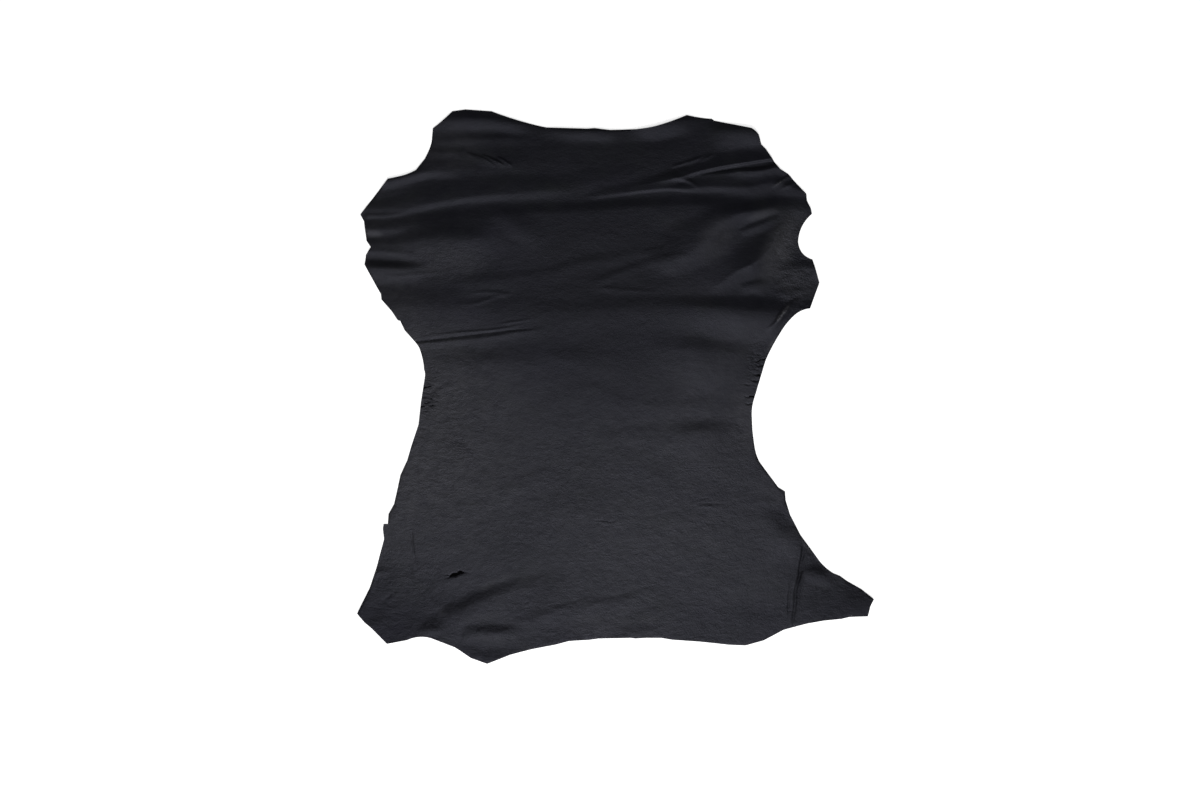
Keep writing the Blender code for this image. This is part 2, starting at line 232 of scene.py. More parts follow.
# The main folds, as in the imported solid.
MAIN_FOLDS = (
    ridge("lifted left of the neck", 0, (
        (-292, 426, 1.6, 16, 24), (-250, 429, 3.1, 16, 24), (-205, 428, 3.4, 16, 24),
        (-165, 422, 2.4, 14, 22), (-120, 413, 0, 12, 20),
    )),
    ridge("lifted at the nape", 0, (
        (-128, 413, 0, 10, 18), (-92, 411, 1.8, 12, 22), (-45, 409, 2.5, 12, 22),
        (-8, 408, 1.8, 12, 22), (20, 408, 0, 10, 18),
    )),
    ridge("lifted right of the neck", 0, (
        (5, 409, 0, 14, 24), (30, 412, 2, 14, 24), (55, 418, 4.2, 16, 30),
        (95, 425, 3.4, 16, 30), (130, 424, 1, 16, 26), (155, 414, 0, 16, 24),
    )),
    ridge("lifted at the right shoulder", 0, (
        (146, 404, 0, 20, 30), (180, 409, 3.4, 22, 36), (215, 409, 4.4, 22, 34),
        (246, 399, 2.6, 20, 30),
    )),
    ridge("nape", 0, (
        (-376, 328, 2.6, 22, 18), (-345, 334, 2.7, 26, 17), (-305, 344, 2.7, 32, 16),
        (-265, 347, 1.6, 36, 18), (-225, 350, 0.8, 36, 20), (-145, 358, 0.4, 30, 20),
        (-60, 364, 0, 24, 20),
    )),
    ridge("cross ridge", 0, (
        (-414, 284, 1.5, 14, 17), (-345, 285, 1.7, 24, 15), (-305, 292, 1.7, 44, 13),
        (-265, 299, 1.6, 46, 12), (-225, 305, 1.6, 42, 13), (-185, 309, 1.6, 36, 15),
        (-145, 312, 1.3, 30, 16), (-105, 315, 1, 28, 18), (-65, 320, 0.7, 26, 20),
        (-25, 330, 0.4, 22, 18), (15, 340, 0.2, 18, 14), (50, 350, 0, 16, 12),
    )),
    ridge("ridge under the shoulder", 0.2, (
        (-48, 302, 0, 12, 8), (-24, 306, 0.6, 15, 7), (7, 309, 0.9, 16, 6),
        (39, 313, 1.1, 15, 5.5), (60, 315, 1.2, 13, 5.5), (87, 317, 1.2, 12, 5.5),
        (111, 316, 1.2, 15, 6.5), (140, 319, 1.3, 17, 11), (175, 320, 1.3, 18, 13),
        (215, 319, 1.3, 17, 16), (255, 326, 1.5, 14, 22), (312, 309, 1.4, 12, 18),
    )),
    ridge("rise below the trough", 0, (
        (-414, 250, 3, 16, 12), (-385, 251, 2.6, 20, 15), (-345, 254, 2.3, 22, 30),
        (-305, 257, 2.2, 23, 50), (-265, 259, 2.1, 25, 64), (-225, 264, 2, 25, 70),
        (-185, 270, 2, 23, 80), (-145, 273, 1.8, 22, 92), (-65, 277, 1.8, 21, 100),
        (15, 283, 1.8, 20, 100), (95, 287, 2, 21, 90), (135, 287, 2.4, 21, 56),
        (175, 283, 2.5, 22, 34), (215, 280, 2.4, 22, 28), (255, 284, 2.2, 22, 26),
        (318, 284, 1.8, 20, 24),
    )),
    ridge("slant below the trough", 0, (
        (-195, 280, 0, 16, 16), (-170, 264, 1.1, 26, 22), (-142, 245, 1.1, 30, 24),
        (-112, 224, 0, 24, 18),
    )),
    ridge("left shoulder", 0, (
        (-408, 226, 2, 14, 24), (-345, 227, 2.8, 20, 34), (-305, 231, 3.4, 30, 50),
        (-265, 232, 3.8, 34, 60), (-225, 234, 2.7, 34, 56), (-185, 238, 0.5, 30, 46),
        (-140, 242, 0, 26, 44),
    )),
    ridge("left elbow", 0.1, (
        (-408, 191, 3.6, 14, 26), (-375, 189, 3.6, 15, 28), (-345, 188, 2.9, 14, 28),
        (-318, 189, 1.6, 11, 26), (-295, 190, 0, 8, 22),
    )),
    ridge("breast line", 0, (
        (-270, 163, 0, 12, 20), (-225, 167, 0.5, 14, 26), (-185, 171, 0.5, 14, 26),
        (-105, 181, 0.35, 14, 24), (-65, 195, 0.35, 14, 20), (-25, 202, 0.35, 13, 20),
        (55, 215, 0.3, 13, 18), (90, 218, 0, 12, 18),
    )),
    ridge("chest", 0, (
        (-392, 129, 2.2, 38, 68), (-345, 124, 2.7, 44, 70), (-305, 122, 2.8, 46, 72),
        (-265, 122, 2.1, 42, 68), (-225, 122, 0.8, 34, 50), (-185, 120, 0.6, 30, 46),
        (-105, 118, 0.8, 26, 46), (-25, 121, 0.7, 24, 42), (55, 127, 0.9, 22, 42),
        (95, 126, 1.5, 22, 44), (135, 125, 2.7, 24, 46), (175, 122, 3.6, 26, 52),
        (215, 119, 4, 28, 56), (255, 118, 3.6, 28, 56), (316, 122, 2.4, 24, 36),
    )),
    ridge("left flank", 0, (
        (-300, 28, 0, 26, 60), (-265, 29, 1, 28, 80), (-225, 32, 1.7, 30, 90),
        (-185, 36, 1.6, 30, 90), (-145, 40, 1.3, 30, 80), (-105, 42, 0.9, 30, 60),
        (-25, 44, 0.7, 28, 50), (30, 46, 0, 26, 40),
    )),
    ridge("upper shoulder tuck", 0.8, (
        (20, 320, 0, 12, 12), (55, 325, 1.1, 13, 16), (87, 331, 1.8, 16, 13),
        (112, 337, 2.3, 19, 7.5), (132, 343, 2.6, 21, 4.4), (167, 351, 2.7, 24, 3.8),
        (199, 356, 3, 26, 3.8), (231, 361, 3.2, 27, 3.8), (264, 366, 3.2, 27, 3.8),
    )),
    ridge("lower shoulder tuck", 0.6, (
        (150, 337, 0, 6, 12), (175, 340, 1, 7, 18), (199, 344, 1.8, 8, 20),
        (231, 345, 2.3, 10, 20), (255, 350, 2.5, 10, 20), (275, 355, 2.4, 10, 20),
    )),
    ridge("hip swirl, left arm", 0, (
        (40, 194, 0, 34, 22), (71, 198, 1.2, 42, 26), (95, 205, 2.4, 50, 32),
        (135, 227, 4.4, 54, 35), (168, 258, 4.4, 36, 26), (202, 276, 3.4, 20, 19),
        (235, 284, 1.8, 16, 16), (262, 290, 0, 14, 16),
    )),
    ridge("hip swirl, right arm", 0.8, (
        (150, 150, 0, 24, 16), (175, 170, 1.8, 34, 22), (199, 186, 3.6, 40, 26),
        (221, 196, 4.8, 44, 25), (240, 210, 5, 46, 17), (254, 228, 4.6, 42, 16),
        (264, 252, 3.2, 28, 14), (282, 276, 0, 18, 20),
    )),
    ridge("right elbow", 0, (
        (252, 182, 0, 12, 24), (276, 186, 1.8, 13, 28), (300, 188, 2.4, 14, 28),
        (330, 190, 2.6, 14, 28),
    )),
    ridge("right flank, upper", 0, (
        (50, 58, 0, 22, 50), (92, 58, 0.6, 24, 62), (116, 57, 1.8, 26, 74),
        (140, 54, 2.3, 27, 78), (162, 51, 1.7, 26, 68), (190, 51, 0.8, 22, 50),
        (218, 55, 0, 16, 30),
    )),
    ridge("right flank, middle", 0, (
        (-110, -6, 0, 14, 26), (-65, -6, 0.3, 16, 30), (-25, -8, 0.3, 16, 30),
        (15, -28, 0.3, 16, 30), (95, -34, 0.5, 16, 30), (135, -30, 0.4, 16, 30),
        (170, -28, 0, 14, 26),
    )),
    ridge("right flank, lower", 0, (
        (-45, -78, 0, 14, 40), (-15, -80, 0.5, 15, 44), (55, -77, 0.5, 16, 44),
        (92, -76, 1, 20, 50), (116, -76, 2.2, 24, 62), (138, -75, 2.7, 25, 64),
        (156, -73, 1.9, 24, 58), (176, -70, 0.6, 18, 42), (200, -68, 0, 16, 36),
    )),
    ridge("hip hollow", 0, (
        (222, -202, 0, 18, 40), (248, -220, 1, 26, 46), (270, -240, 1.7, 28, 42),
        (296, -258, 1.4, 24, 36),
    )),
    ridge("butt, upper", 0.1, (
        (-292, -378, 0, 14, 36), (-277, -372, 1.8, 18, 42), (-258, -364, 3.6, 21, 50),
        (-222, -348, 3.9, 23, 64), (-185, -334, 3.3, 23, 72), (-145, -325, 2.6, 24, 70),
        (-105, -319, 1.7, 24, 64), (-58, -316, 0, 18, 50),
    )),
    ridge("butt, lower", 0, (
        (-248, -391, 0, 10, 22), (-224, -394, 3.2, 15, 28), (-180, -394, 3.6, 16, 28),
        (-146, -390, 0, 12, 22),
    )),
    ridge("butt tip", 0, (
        (-250, -420, 0, 16, 20), (-218, -436, 3, 24, 24), (-185, -438, 3, 24, 24),
        (-150, -428, 0, 18, 20),
    )),
    ridge("left leg, curled edge", 0, (
        (-424, -362, 2.5, 50, 30), (-367, -414, 4.8, 70, 30), (-313, -408, 4.2, 60, 30),
        (-268, -414, 1.2, 40, 30), (-250, -420, 0, 30, 30),
    )),
    ridge("right leg, curled edge", 0, (
        (270, -396, 0, 50, 30), (330, -378, 4, 60, 30), (403, -370, 5, 60, 30),
        (424, -368, 5, 60, 30),
    )),
)

# The fine creases between the main folds.
FINE_CREASES = (
    ridge("waist crease, lower", 0.4, (
        (-326, 67, 1.1, 4, 12), (-265, 73, 0.9, 4, 12), (-225, 77, 0.8, 4, 12),
        (-185, 82, 0.7, 4, 12), (-145, 89, 0.4, 5, 12), (-100, 93, 0, 5, 10),
    )),
    ridge("waist crease, upper", 0.4, (
        (-312, 79, 0, 3, 4), (-265, 85, 0.55, 3, 4), (-225, 88, 0.6, 3, 4),
        (-185, 92, 0.5, 3, 4), (-137, 102, 0, 3, 4),
    )),
    ridge("waist crease, short", 0.3, (
        (-190, 99, 0, 3, 4), (-165, 103, 0.5, 3, 5), (-130, 108, 0, 3, 4),
    )),
    ridge("neck line, upper", 0, (
        (-300, 392, 0, 9, 12), (-265, 394, 0.5, 9, 12), (-185, 396, 0.5, 9, 12),
        (-120, 394, 0, 9, 12),
    )),
    ridge("neck line, lower", 0, (
        (-305, 374, 1, 8, 13), (-265, 375, 0.8, 8, 13), (-225, 372, 0, 8, 12),
    )),
    ridge("left shoulder edge line", 0.2, (
        (-398, 273, 1.2, 5, 8), (-360, 274, 1, 5, 8), (-330, 279, 0, 4, 7),
    )),
    ridge("left shoulder tuck lip", 0.2, (
        (-404, 216, 0.9, 10, 7), (-370, 215, 0.8, 10, 7), (-335, 211, 0.6, 9, 7),
        (-306, 203, 0, 8, 7),
    )),
    ridge("left elbow line", 0.3, (
        (-372, 176, 0, 3, 5), (-345, 177, 0.5, 3, 6), (-300, 181, 0.4, 3, 6),
        (-270, 184, 0, 3, 5),
    )),
    ridge("chest line, left", 0.3, (
        (-250, 131, 0, 3, 5), (-222, 134, 0.5, 3, 6), (-190, 145, 0.4, 3, 6),
        (-165, 150, 0, 3, 5),
    )),
    ridge("chest line, upper", 0.3, (
        (-240, 148, 0, 3, 6), (-215, 151, 0.5, 4, 8), (-185, 150, 0.5, 4, 8),
        (-165, 147, 0, 3, 6),
    )),
    ridge("breast line, middle", 0, (
        (-40, 166, 0, 8, 12), (-15, 174, 0.35, 9, 14), (15, 186, 0.4, 9, 14),
        (55, 199, 0.4, 9, 14), (95, 208, 0.3, 9, 14), (125, 214, 0, 8, 12),
    )),
    ridge("breast line, lower", 0.2, (
        (-35, 158, 0, 4, 8), (-10, 157, 0.3, 4, 9), (40, 153, 0.25, 4, 9), (70, 150, 0, 4, 8),
    )),
    ridge("shoulder fork, stem", 0.3, (
        (84, 335, 0, 7, 6), (104, 332, 0.9, 8, 6), (120, 327, 1, 7, 5), (134, 316, 0, 5, 4),
    )),
    ridge("shoulder fork, tine", 0.3, (
        (86, 350, 0, 5, 4), (104, 355, 0.8, 5, 4), (133, 365, 0.7, 4, 4), (150, 372, 0, 3, 4),
    )),
    ridge("right shoulder line, upper", 0.3, (
        (252, 319, 0, 4, 5), (268, 330, 1.5, 4, 5), (284, 338, 1.8, 4, 5),
        (292, 342, 1.6, 4, 5),
    )),
    ridge("right shoulder line, lower", 0.3, (
        (262, 314, 0, 4, 5), (278, 322, 0.8, 4, 6), (296, 332, 0.9, 4, 6),
    )),
    ridge("right waist, edge roll", 0.2, (
        (240, 88, 0, 6, 8), (256, 101, 1.8, 6, 8), (268, 117, 3, 7, 9), (280, 130, 2.6, 7, 9),
        (294, 142, 0, 7, 9),
    )),
    ridge("swirl lip", 0.1, (
        (196, 246, 0, 6, 10), (212, 251, 1.2, 9, 14), (232, 258, 1.9, 10, 14),
        (250, 266, 1.4, 9, 12), (262, 272, 0, 6, 10),
    )),
    ridge("elbow pucker", 0.2, (
        (256, 146, 0, 8, 12), (272, 148, 1.4, 11, 14), (290, 150, 1.2, 11, 14),
        (312, 156, 0, 8, 12),
    )),
    ridge("swirl foot, pucker", 0.1, (
        (196, 154, 0, 8, 10), (214, 160, 1, 10, 14), (234, 164, 0.9, 10, 14),
        (248, 166, 0, 8, 10),
    )),
    ridge("leg pucker", 0.1, (
        (298, -296, 0, 8, 10), (312, -298, 2.4, 14, 20), (328, -302, 3, 18, 20),
        (348, -312, 0, 12, 14),
    )),
    ridge("butt line", 0, (
        (-170, -380, 0, 12, 26), (-137, -374, 1.4, 11, 28), (-97, -359, 1.6, 11, 28),
        (-57, -350, 1.3, 11, 28), (10, -343, 1.1, 11, 28), (39, -332, 0.9, 11, 26),
        (75, -322, 0, 12, 24),
    )),
    ridge("belly line, left", 0, (
        (-185, -180, 0, 14, 30), (-160, -160, 0.8, 14, 34), (-130, -143, 0.8, 14, 34),
        (-100, -133, 0, 14, 30),
    )),
    ridge("belly mark", 0.3, (
        (-30, -216, 0, 3, 6), (-8, -217, 0.35, 4, 7), (8, -215, 0, 3, 6),
    )),
    ridge("hip mark", 0.3, (
        (122, -191, 0, 4, 6), (155, -191, 0.7, 5, 7), (184, -188, 0, 4, 6),
    )),
    ridge("hip line", 0.2, (
        (216, -183, 0, 3, 8), (234, -184, 0.8, 4, 10), (256, -185, 0.6, 4, 10),
        (270, -187, 0, 3, 8),
    )),
    ridge("left leg, notch line", 0.1, (
        (-392, -298, 1.6, 10, 10), (-374, -298, 1, 10, 10), (-356, -296, 0, 8, 8),
    )),
    ridge("left leg, knot", 0.1, (
        (-318, -388, 0, 16, 8), (-304, -392, 2.2, 24, 9), (-286, -391, 2.2, 24, 9),
        (-272, -386, 0, 14, 8),
    )),
)

# Scratches that stand up, and the banks of the line down the right leg: grain side only.
GRAIN_LINES = (
    ridge("neck scratch, left", 0.3, (
        (-240, 375, 0, 2, 8), (-221, 369, 1.1, 2.6, 14), (-206, 362, 0.9, 2.6, 14),
        (-190, 351, 0, 2, 8),
    )),
    ridge("neck scratch, middle", 0.3, (
        (-216, 371, 0, 2, 8), (-204, 367, 0.9, 2.6, 12), (-187, 359, 0.9, 2.6, 12),
        (-176, 352, 0, 2, 8),
    )),
    ridge("neck scratch, right", 0.3, (
        (-190, 368, 0, 2, 8), (-182, 364, 0.8, 2.6, 12), (-171, 357, 0.8, 2.6, 12),
        (-163, 352, 0, 2, 8),
    )),
    ridge("shoulder scratch, left", 0.3, (
        (110, 353, 0, 2, 5), (124, 360, 0.6, 2.4, 6), (139, 366, 0, 2, 5),
    )),
    ridge("shoulder scratch, right", 0.3, (
        (132, 359, 0, 2, 5), (145, 366, 0.7, 2.4, 6), (159, 374, 0, 2, 5),
    )),
    ridge("leg line, left bank", 0.2, (
        (296, -252, 0, 3, 10), (295, -270, 0.8, 3.4, 14), (292, -286, 0.8, 3.4, 14),
        (290, -304, 0.8, 3.4, 14), (284, -328, 0.6, 3.4, 14), (281, -380, 0, 3, 10),
    )),
    ridge("leg line, right bank", 0.2, (
        (304, -252, 0, 10, 3), (303, -270, 0.8, 14, 3.4), (300, -286, 0.8, 14, 3.4),
        (298, -304, 0.8, 14, 3.4), (292, -328, 0.6, 14, 3.4), (287, -380, 0, 10, 3),
    )),
)

# The torn gash on the left leg.
GASH = slits(
    (
        (-270, -308, 0, 0.8), (-265, -305, 0.9, 1.6), (-261, -302, 1.3, 2.8),
        (-257, -301, 1.3, 3.4), (-253, -300, 1.2, 2.2), (-249, -298, 1.3, 3.4),
        (-245, -298, 1.2, 2.5), (-239, -298, 0.5, 1.1), (-230, -298, 0, 0.7),
    ),
)

# The bottoms of the left shoulder's crease and the right shoulder's tuck, painted near black as
# painted shade.
TIGHT_CREASES = slits(
    (
        (-322, 71, 0.6, 1.8), (-281, 76, 0.55, 1.6), (-249, 80, 0.5, 1.5), (-217, 84, 0.5, 1.4),
        (-185, 88, 0.45, 1.3), (-153, 91, 0.35, 1.2), (-120, 93, 0, 1),
    ),
    (
        (135, 339, 0, 1), (151, 342, 0.4, 1.4), (167, 345, 0.6, 1.6), (199, 349, 0.4, 1.6),
        (231, 352, 0.3, 1.6), (270, 358, 0.3, 1.6),
    ),
)

# Fine cracks: round the gash, at both waist edges, and in the belly and hip marks.
CRACKS = slits(
    ((-275, -301, 0, 0.7), (-270, -301, 0.6, 0.9), (-263, -302, 0.8, 1)),
    ((-273, -306, 0, 0.7), (-268, -305, 0.6, 0.9), (-262, -304, 0.8, 1)),
    ((-302, 13, 0, 0.8), (-298, 14, 0.5, 0.9), (-294, 13, 0, 0.8)),
    ((-304, 9, 0, 0.8), (-298, 4, 0.6, 1.1), (-294, 6, 0, 0.8)),
    ((-311, -7, 1.2, 1.5), (-306, -3, 1.2, 1.4), (-298, 0, 1.1, 1.1), (-292, 3, 0, 0.8)),
    ((-296, -7, 0, 0.8), (-288, -10, 0.6, 1), (-283, -16, 0, 0.8)),
    ((-312, -16, 0.7, 1.2), (-303, -18, 0.7, 1.1), (-295, -16, 0, 0.8)),
    ((-309, -26, 0, 0.8), (-303, -27, 1.1, 1.1), (-297, -25, 0.9, 1), (-290, -23, 0, 0.8)),
    ((-299, -16, 0, 0.8), (-294, -20, 0.9, 1), (-287, -22, 0, 0.8)),
    ((-314, -33, 1.2, 1.6), (-308, -32, 1.2, 1.2), (-302, -33, 0, 0.8)),
    ((-300, -30, 0, 0.8), (-294, -31, 1.1, 1.2), (-286, -29, 0, 0.8)),
    ((-291, -25, 0, 0.8), (-286, -23, 0.6, 1), (-282, -25, 0, 0.8)),
    ((-307, -41, 0, 0.8), (-303, -40, 0.5, 1), (-298, -39, 0, 0.8)),
    ((-312, -66, 0.6, 1.8), (-306, -67, 0.4, 1.4), (-300, -66, 0, 1)),
    ((-265, -88, 0, 1), (-257, -90, 0.5, 1.6), (-249, -88, 0, 1)),
    ((-258, -98, 0, 1), (-250, -99, 0.5, 1.4), (-243, -96, 0, 1)),
    ((217, 41, 0, 0.8), (226, 40, 0.8, 1.1), (231, 42, 1.2, 1.1), (240, 44, 1.2, 1.3)),
    ((220, 39, 0, 0.8), (226, 34, 0.6, 1), (231, 33, 0.85, 1.3), (237, 33, 0.85, 1.6)),
    ((220, 18, 0, 0.8), (226, 18, 0.9, 1.1), (232, 18, 1.2, 1.5)),
    ((216, 11, 0, 0.8), (222, 9, 1.2, 1.1), (226, 8, 1.2, 1.1), (231, 10, 0.85, 1.2)),
    ((204, 4, 0, 0.8), (211, 3, 0.6, 1), (219, 4, 0, 0.8)),
    ((205, -15, 0, 0.8), (211, -17, 0.7, 1.1), (218, -16, 1, 1.3), (224, -16, 1, 1.3)),
    ((206, -26, 0, 0.8), (212, -28, 0.8, 1.1), (220, -27, 0.8, 1.3)),
    ((192, -58, 0, 0.8), (196, -61, 0.5, 1.1), (201, -60, 0, 0.8)),
    ((-38, -214, 0, 0.9), (-22, -215, 0.4, 1.2), (-7, -216, 0.6, 1.3), (4, -213, 0, 0.9)),
    ((126, -190, 0, 2), (143, -189, 0.2, 2.6), (171, -190, 0.3, 2.8), (186, -187, 0, 2)),
    ((128, -178, 0, 1), (138, -180, 0.3, 1.3), (150, -179, 0, 1)),
)

# Grooves on the legs, where the grain is pressed in but whole.
SEAMS = slits(
    (
        (300, -248, 0, 1.4), (300, -264, 0.85, 1.8), (296, -282, 0.85, 1.4),
        (294, -304, 0.85, 1.8), (288, -326, 0.85, 1.6), (287, -350, 0.85, 1.8),
        (284, -372, 0.85, 1.5), (283, -386, 0, 1.4),
    ),
    ((281, -290, 0, 1.3), (279, -322, 0.7, 1.4), (277, -348, 0.85, 1.5), (276, -374, 0, 1.3)),
    ((322, -310, 0, 2), (323, -330, 0.6, 2.4), (326, -358, 0, 2)),
    ((-328, -230, 0, 1), (-326, -239, 1, 1.4), (-324, -258, 0.85, 1.1), (-320, -284, 0, 0.9)),
    ((-337, -280, 0, 1.6), (-322, -310, 0.7, 2), (-306, -342, 0, 1.6)),
    ((-322, -285, 0, 1.6), (-310, -310, 0.7, 2), (-292, -336, 0, 1.6)),
    ((-378, -350, 0, 1.6), (-362, -334, 0.7, 1.8), (-344, -322, 0, 1.6)),
)
# The gash and cracks show bare fibres; the tight creases are painted near black as painted shade.
TEARS_AND_SHADED_CREASES = GASH + TIGHT_CREASES + CRACKS

# Where the skin is paler (dye with painted sheen and highlights), deeper (dye with painted
# shade), coarser, or shows wear with painted highlights.
PATCHES = {
    Mark.LOOSE: ovals(
        (-299, -10, 20, 44, 0, 1), (-252, -98, 16, 24, 0, 0.8), (-262, -60, 20, 60, 0, 0.4),
        (232, 20, 20, 60, 10, 0.7), (194, -80, 24, 28, 0, 0.4), (300, 150, 30, 40, 0, 0.5),
    ),
    Mark.BUMPY: ovals(
        (288, 212, 40, 70, 0, 1), (240, 160, 70, 24, 20, 0.8), (-265, 205, 70, 36, 0, 0.5),
        (-320, -340, 120, 90, 0, 0.9), (340, -310, 90, 90, 0, 0.9),
    ),
    Mark.COARSE: ovals(
        (0, -220, 420, 190, 0, 0.45), (-330, -70, 150, 190, 0, 0.6),
        (-40, -410, 420, 100, 0, 0.7), (290, 200, 44, 90, 0, 0.9), (340, -320, 80, 90, 0, 0.6),
        (-350, -340, 90, 90, 0, 0.6), (-265, 200, 80, 34, 0, 0.3),
    ),
    Mark.MATT: ovals(
        (345, -310, 80, 80, 0, 1), (-375, -360, 70, 70, 0, 0.7),
    ),
    # Paler dye on the flanks, with painted sheen over the lower half and painted highlights on
    # fold slopes.
    Mark.PALE_AND_SHEEN: ovals(
        (20, -215, 420, 230, 0, 0.42), (55, -235, 120, 60, 0, 0.2), (10, -385, 90, 34, 0, 0.3),
        (-400, -80, 260, 230, 0, 0.95), (-400, 190, 110, 190, 0, 0.3),
        (-278, 202, 72, 36, 0, 0.35), (-275, 385, 70, 50, 0, 0.35),
        (160, -20, 120, 110, 0, 0.3), (264, 222, 26, 66, -25, 0.9), (236, 275, 26, 8, 18, 0.6),
        (-388, 244, 16, 7, 0, 1), (290, 165, 34, 30, 0, 0.4), (160, 232, 30, 40, -35, 0.5),
        (215, 88, 60, 34, 0, 0.25), (212, -50, 26, 60, 0, 0.5), (-30, 207, 64, 8, 10, 0.13),
        (-285, -20, 60, 60, 0, 0.3), (-325, 85, 16, 14, 0, 0.5), (120, 152, 60, 24, 0, 0.2),
        (-288, 0, 60, 80, 0, 0.3), (252, -166, 30, 24, 0, 0.3), (-40, -372, 24, 12, 0, 0.35),
        (42, -378, 18, 10, 0, 0.3), (-194, -314, 32, 6, 24, 0.4), (-217, -369, 44, 8, 12, 0.3),
        (-201, -402, 44, 7, 0, 0.3), (-278, -361, 9, 7, 0, 0.5),
    ),
    # Wear at the edges, with painted highlights along the crests of the right waist's edge roll
    # and the right shoulder line.
    Mark.WORN_AND_HIGHLIGHT: ovals(
        (266, 115, 18, 2.8, 54, 0.8), (251, 68, 18, 4, 56, 0.4), (264, 327, 17, 2, 33, 0.4),
        (306, -257, 15, 3.5, -55, 0.25),
    ),
    # Deeper dye, with painted shade over much of the upper half, in creases, in the swirl's
    # hollow and down the groove of the right leg.
    Mark.DEEP_AND_SHADE: ovals(
        (-10, 180, 170, 120, 0, 0.75), (-160, -245, 60, 44, 20, 0.3),
        (-80, -168, 90, 36, 0, 0.2), (-283, -388, 20, 16, 0, 0.8), (150, -62, 60, 12, 0, 0.3),
        (-20, 30, 130, 80, 0, 0.4), (0, 390, 200, 50, 0, 0.4), (218, 226, 30, 18, 40, 0.5),
        (-365, 197, 52, 9, 0, 0.55), (238, 352, 40, 6, 12, 0.7), (92, 345, 46, 7, 18, 0.7),
        (-222, 367, 20, 2.6, -25, 0.8), (-190, 361, 18, 2.2, -27, 0.5),
        (240, 118, 60, 12, 0, 0.4), (294, -314, 66, 6, 83, 1), (322, -294, 22, 13, -32, 1),
        (264, -216, 38, 18, -48, 0.7), (-130, -342, 60, 22, 14, 0.45),
        (386, -336, 26, 16, 0, 0.7), (376, -327, 44, 9, -30, 0.7),
        (-368, -306, 24, 20, 60, 0.5), (-384, -374, 24, 9, 20, 0.7),
        (-293, -379, 18, 12, 10, 0.9), (-256, -370, 36, 20, 30, 0.4),
        (-212, -334, 56, 9, 22, 0.5), (235, -366, 60, 26, 0, 0.45), (302, -276, 20, 34, 0, 0.5),
        (-268, -354, 22, 8, 25, 0.6), (-281, -348, 18, 7, -40, 0.6),
        (-200, -387, 38, 8, 0, 0.9), (-236, -358, 26, 11, 30, 0.6), (38, -386, 38, 8, 5, 0.7),
    ),
}

# How fine the nets of the two sides are, the finest places first.
TOP_ZONES = (
    Zone(-40, 10, -222, -207, along=1.8, across=1.1),
    Zone(118, 190, -196, -174, along=2.2, across=1.2),
    Zone(-284, -226, -312, -290, along=1.1, across=0.9),
    Zone(-318, -278, -46, 20, along=1.3, across=1.0),
    Zone(203, 242, -34, 52, along=1.5, across=1.1),
    Zone(240, 300, 84, 146, along=2.4, across=1.8),
    Zone(-322, -250, -120, 44, along=2.4, across=1.7),
    Zone(190, 262, -100, 90, along=2.6, across=1.9),
    Zone(-246, -158, 348, 382, along=1.8, across=1.1),
    Zone(272, 306, -390, -244, along=1.1, across=3.0),
    Zone(266, 356, -392, -240, along=2.4, across=2.6),
    Zone(-336, -312, -290, -226, along=1.2, across=3.0),
    Zone(-392, -284, -392, -230, along=2.6, across=2.6),
    Zone(-36, 290, 300, 392, along=3.4, across=1.3),
    Zone(-412, -290, 186, 220, along=3.6, across=1.6),
    Zone(-330, -85, 60, 112, along=4.0, across=1.5),
    Zone(-440, 440, 20, 460, along=5.0, across=2.4),
    Zone(-300, -85, -440, -280, along=5.0, across=2.6),
    Zone(-440, 440, -460, 20, along=6.0, across=3.8),
)
UNDER_ZONES = (
    Zone(284, 356, -332, -278, along=5.0, across=4.0),
    Zone(-36, 290, 300, 392, along=6.0, across=2.6),
    Zone(-412, -290, 180, 222, along=6.0, across=2.6),
    Zone(-440, 440, 20, 460, along=10.0, across=5.0),
    Zone(-440, 440, -460, 20, along=14.0, across=10.0),
)

# The unevenness of the grain, and the furrows and crackle of loose grain.
SWELLS = (
    Swell(75, 45, 3.5, height=0.30, mark=Mark.COARSE, more=0.0),
    Swell(34, 18, 1.5, height=0.18, mark=Mark.COARSE, more=0.40),
    Swell(14, 9, 2.5, height=0.03, mark=Mark.COARSE, more=0.22),
    Swell(18, 12, 4.5, height=0.0, mark=Mark.BUMPY, more=0.40),
    Swell(8, 6, 5.5, height=0.0, mark=Mark.BUMPY, more=0.22),
)
FURROWS = (
    Furrow(15, 5.5, 7.5, wall=0.26, depth=0.7),
    Furrow(7, 3.4, 8.5, wall=0.20, depth=0.4),
)


def smoothed(rows: Rows, steps: int) -> np.ndarray:
    """Work in more rows between those given, on a curve that passes through each.

    Args:
        rows: The named places along the line, as numbers.
        steps: How many steps each stretch is given.

    Returns:
        The finer rows, one for each place.
    """
    given = np.array(rows, float)
    given = np.vstack((2 * given[0] - given[1], given, 2 * given[-1] - given[-2]))
    t = np.arange(steps)[:, None] / steps
    found = []
    for p0, p1, p2, p3 in zip(given, given[1:], given[2:], given[3:]):
        bend = 2 * p0 - 5 * p1 + 4 * p2 - p3
        twist = -p0 + 3 * p1 - 3 * p2 + p3
        found.append(0.5 * (2 * p1 + (p2 - p0) * t + bend * t**2 + twist * t**3))
    found.append(given[-2][None])
    return np.vstack(found)


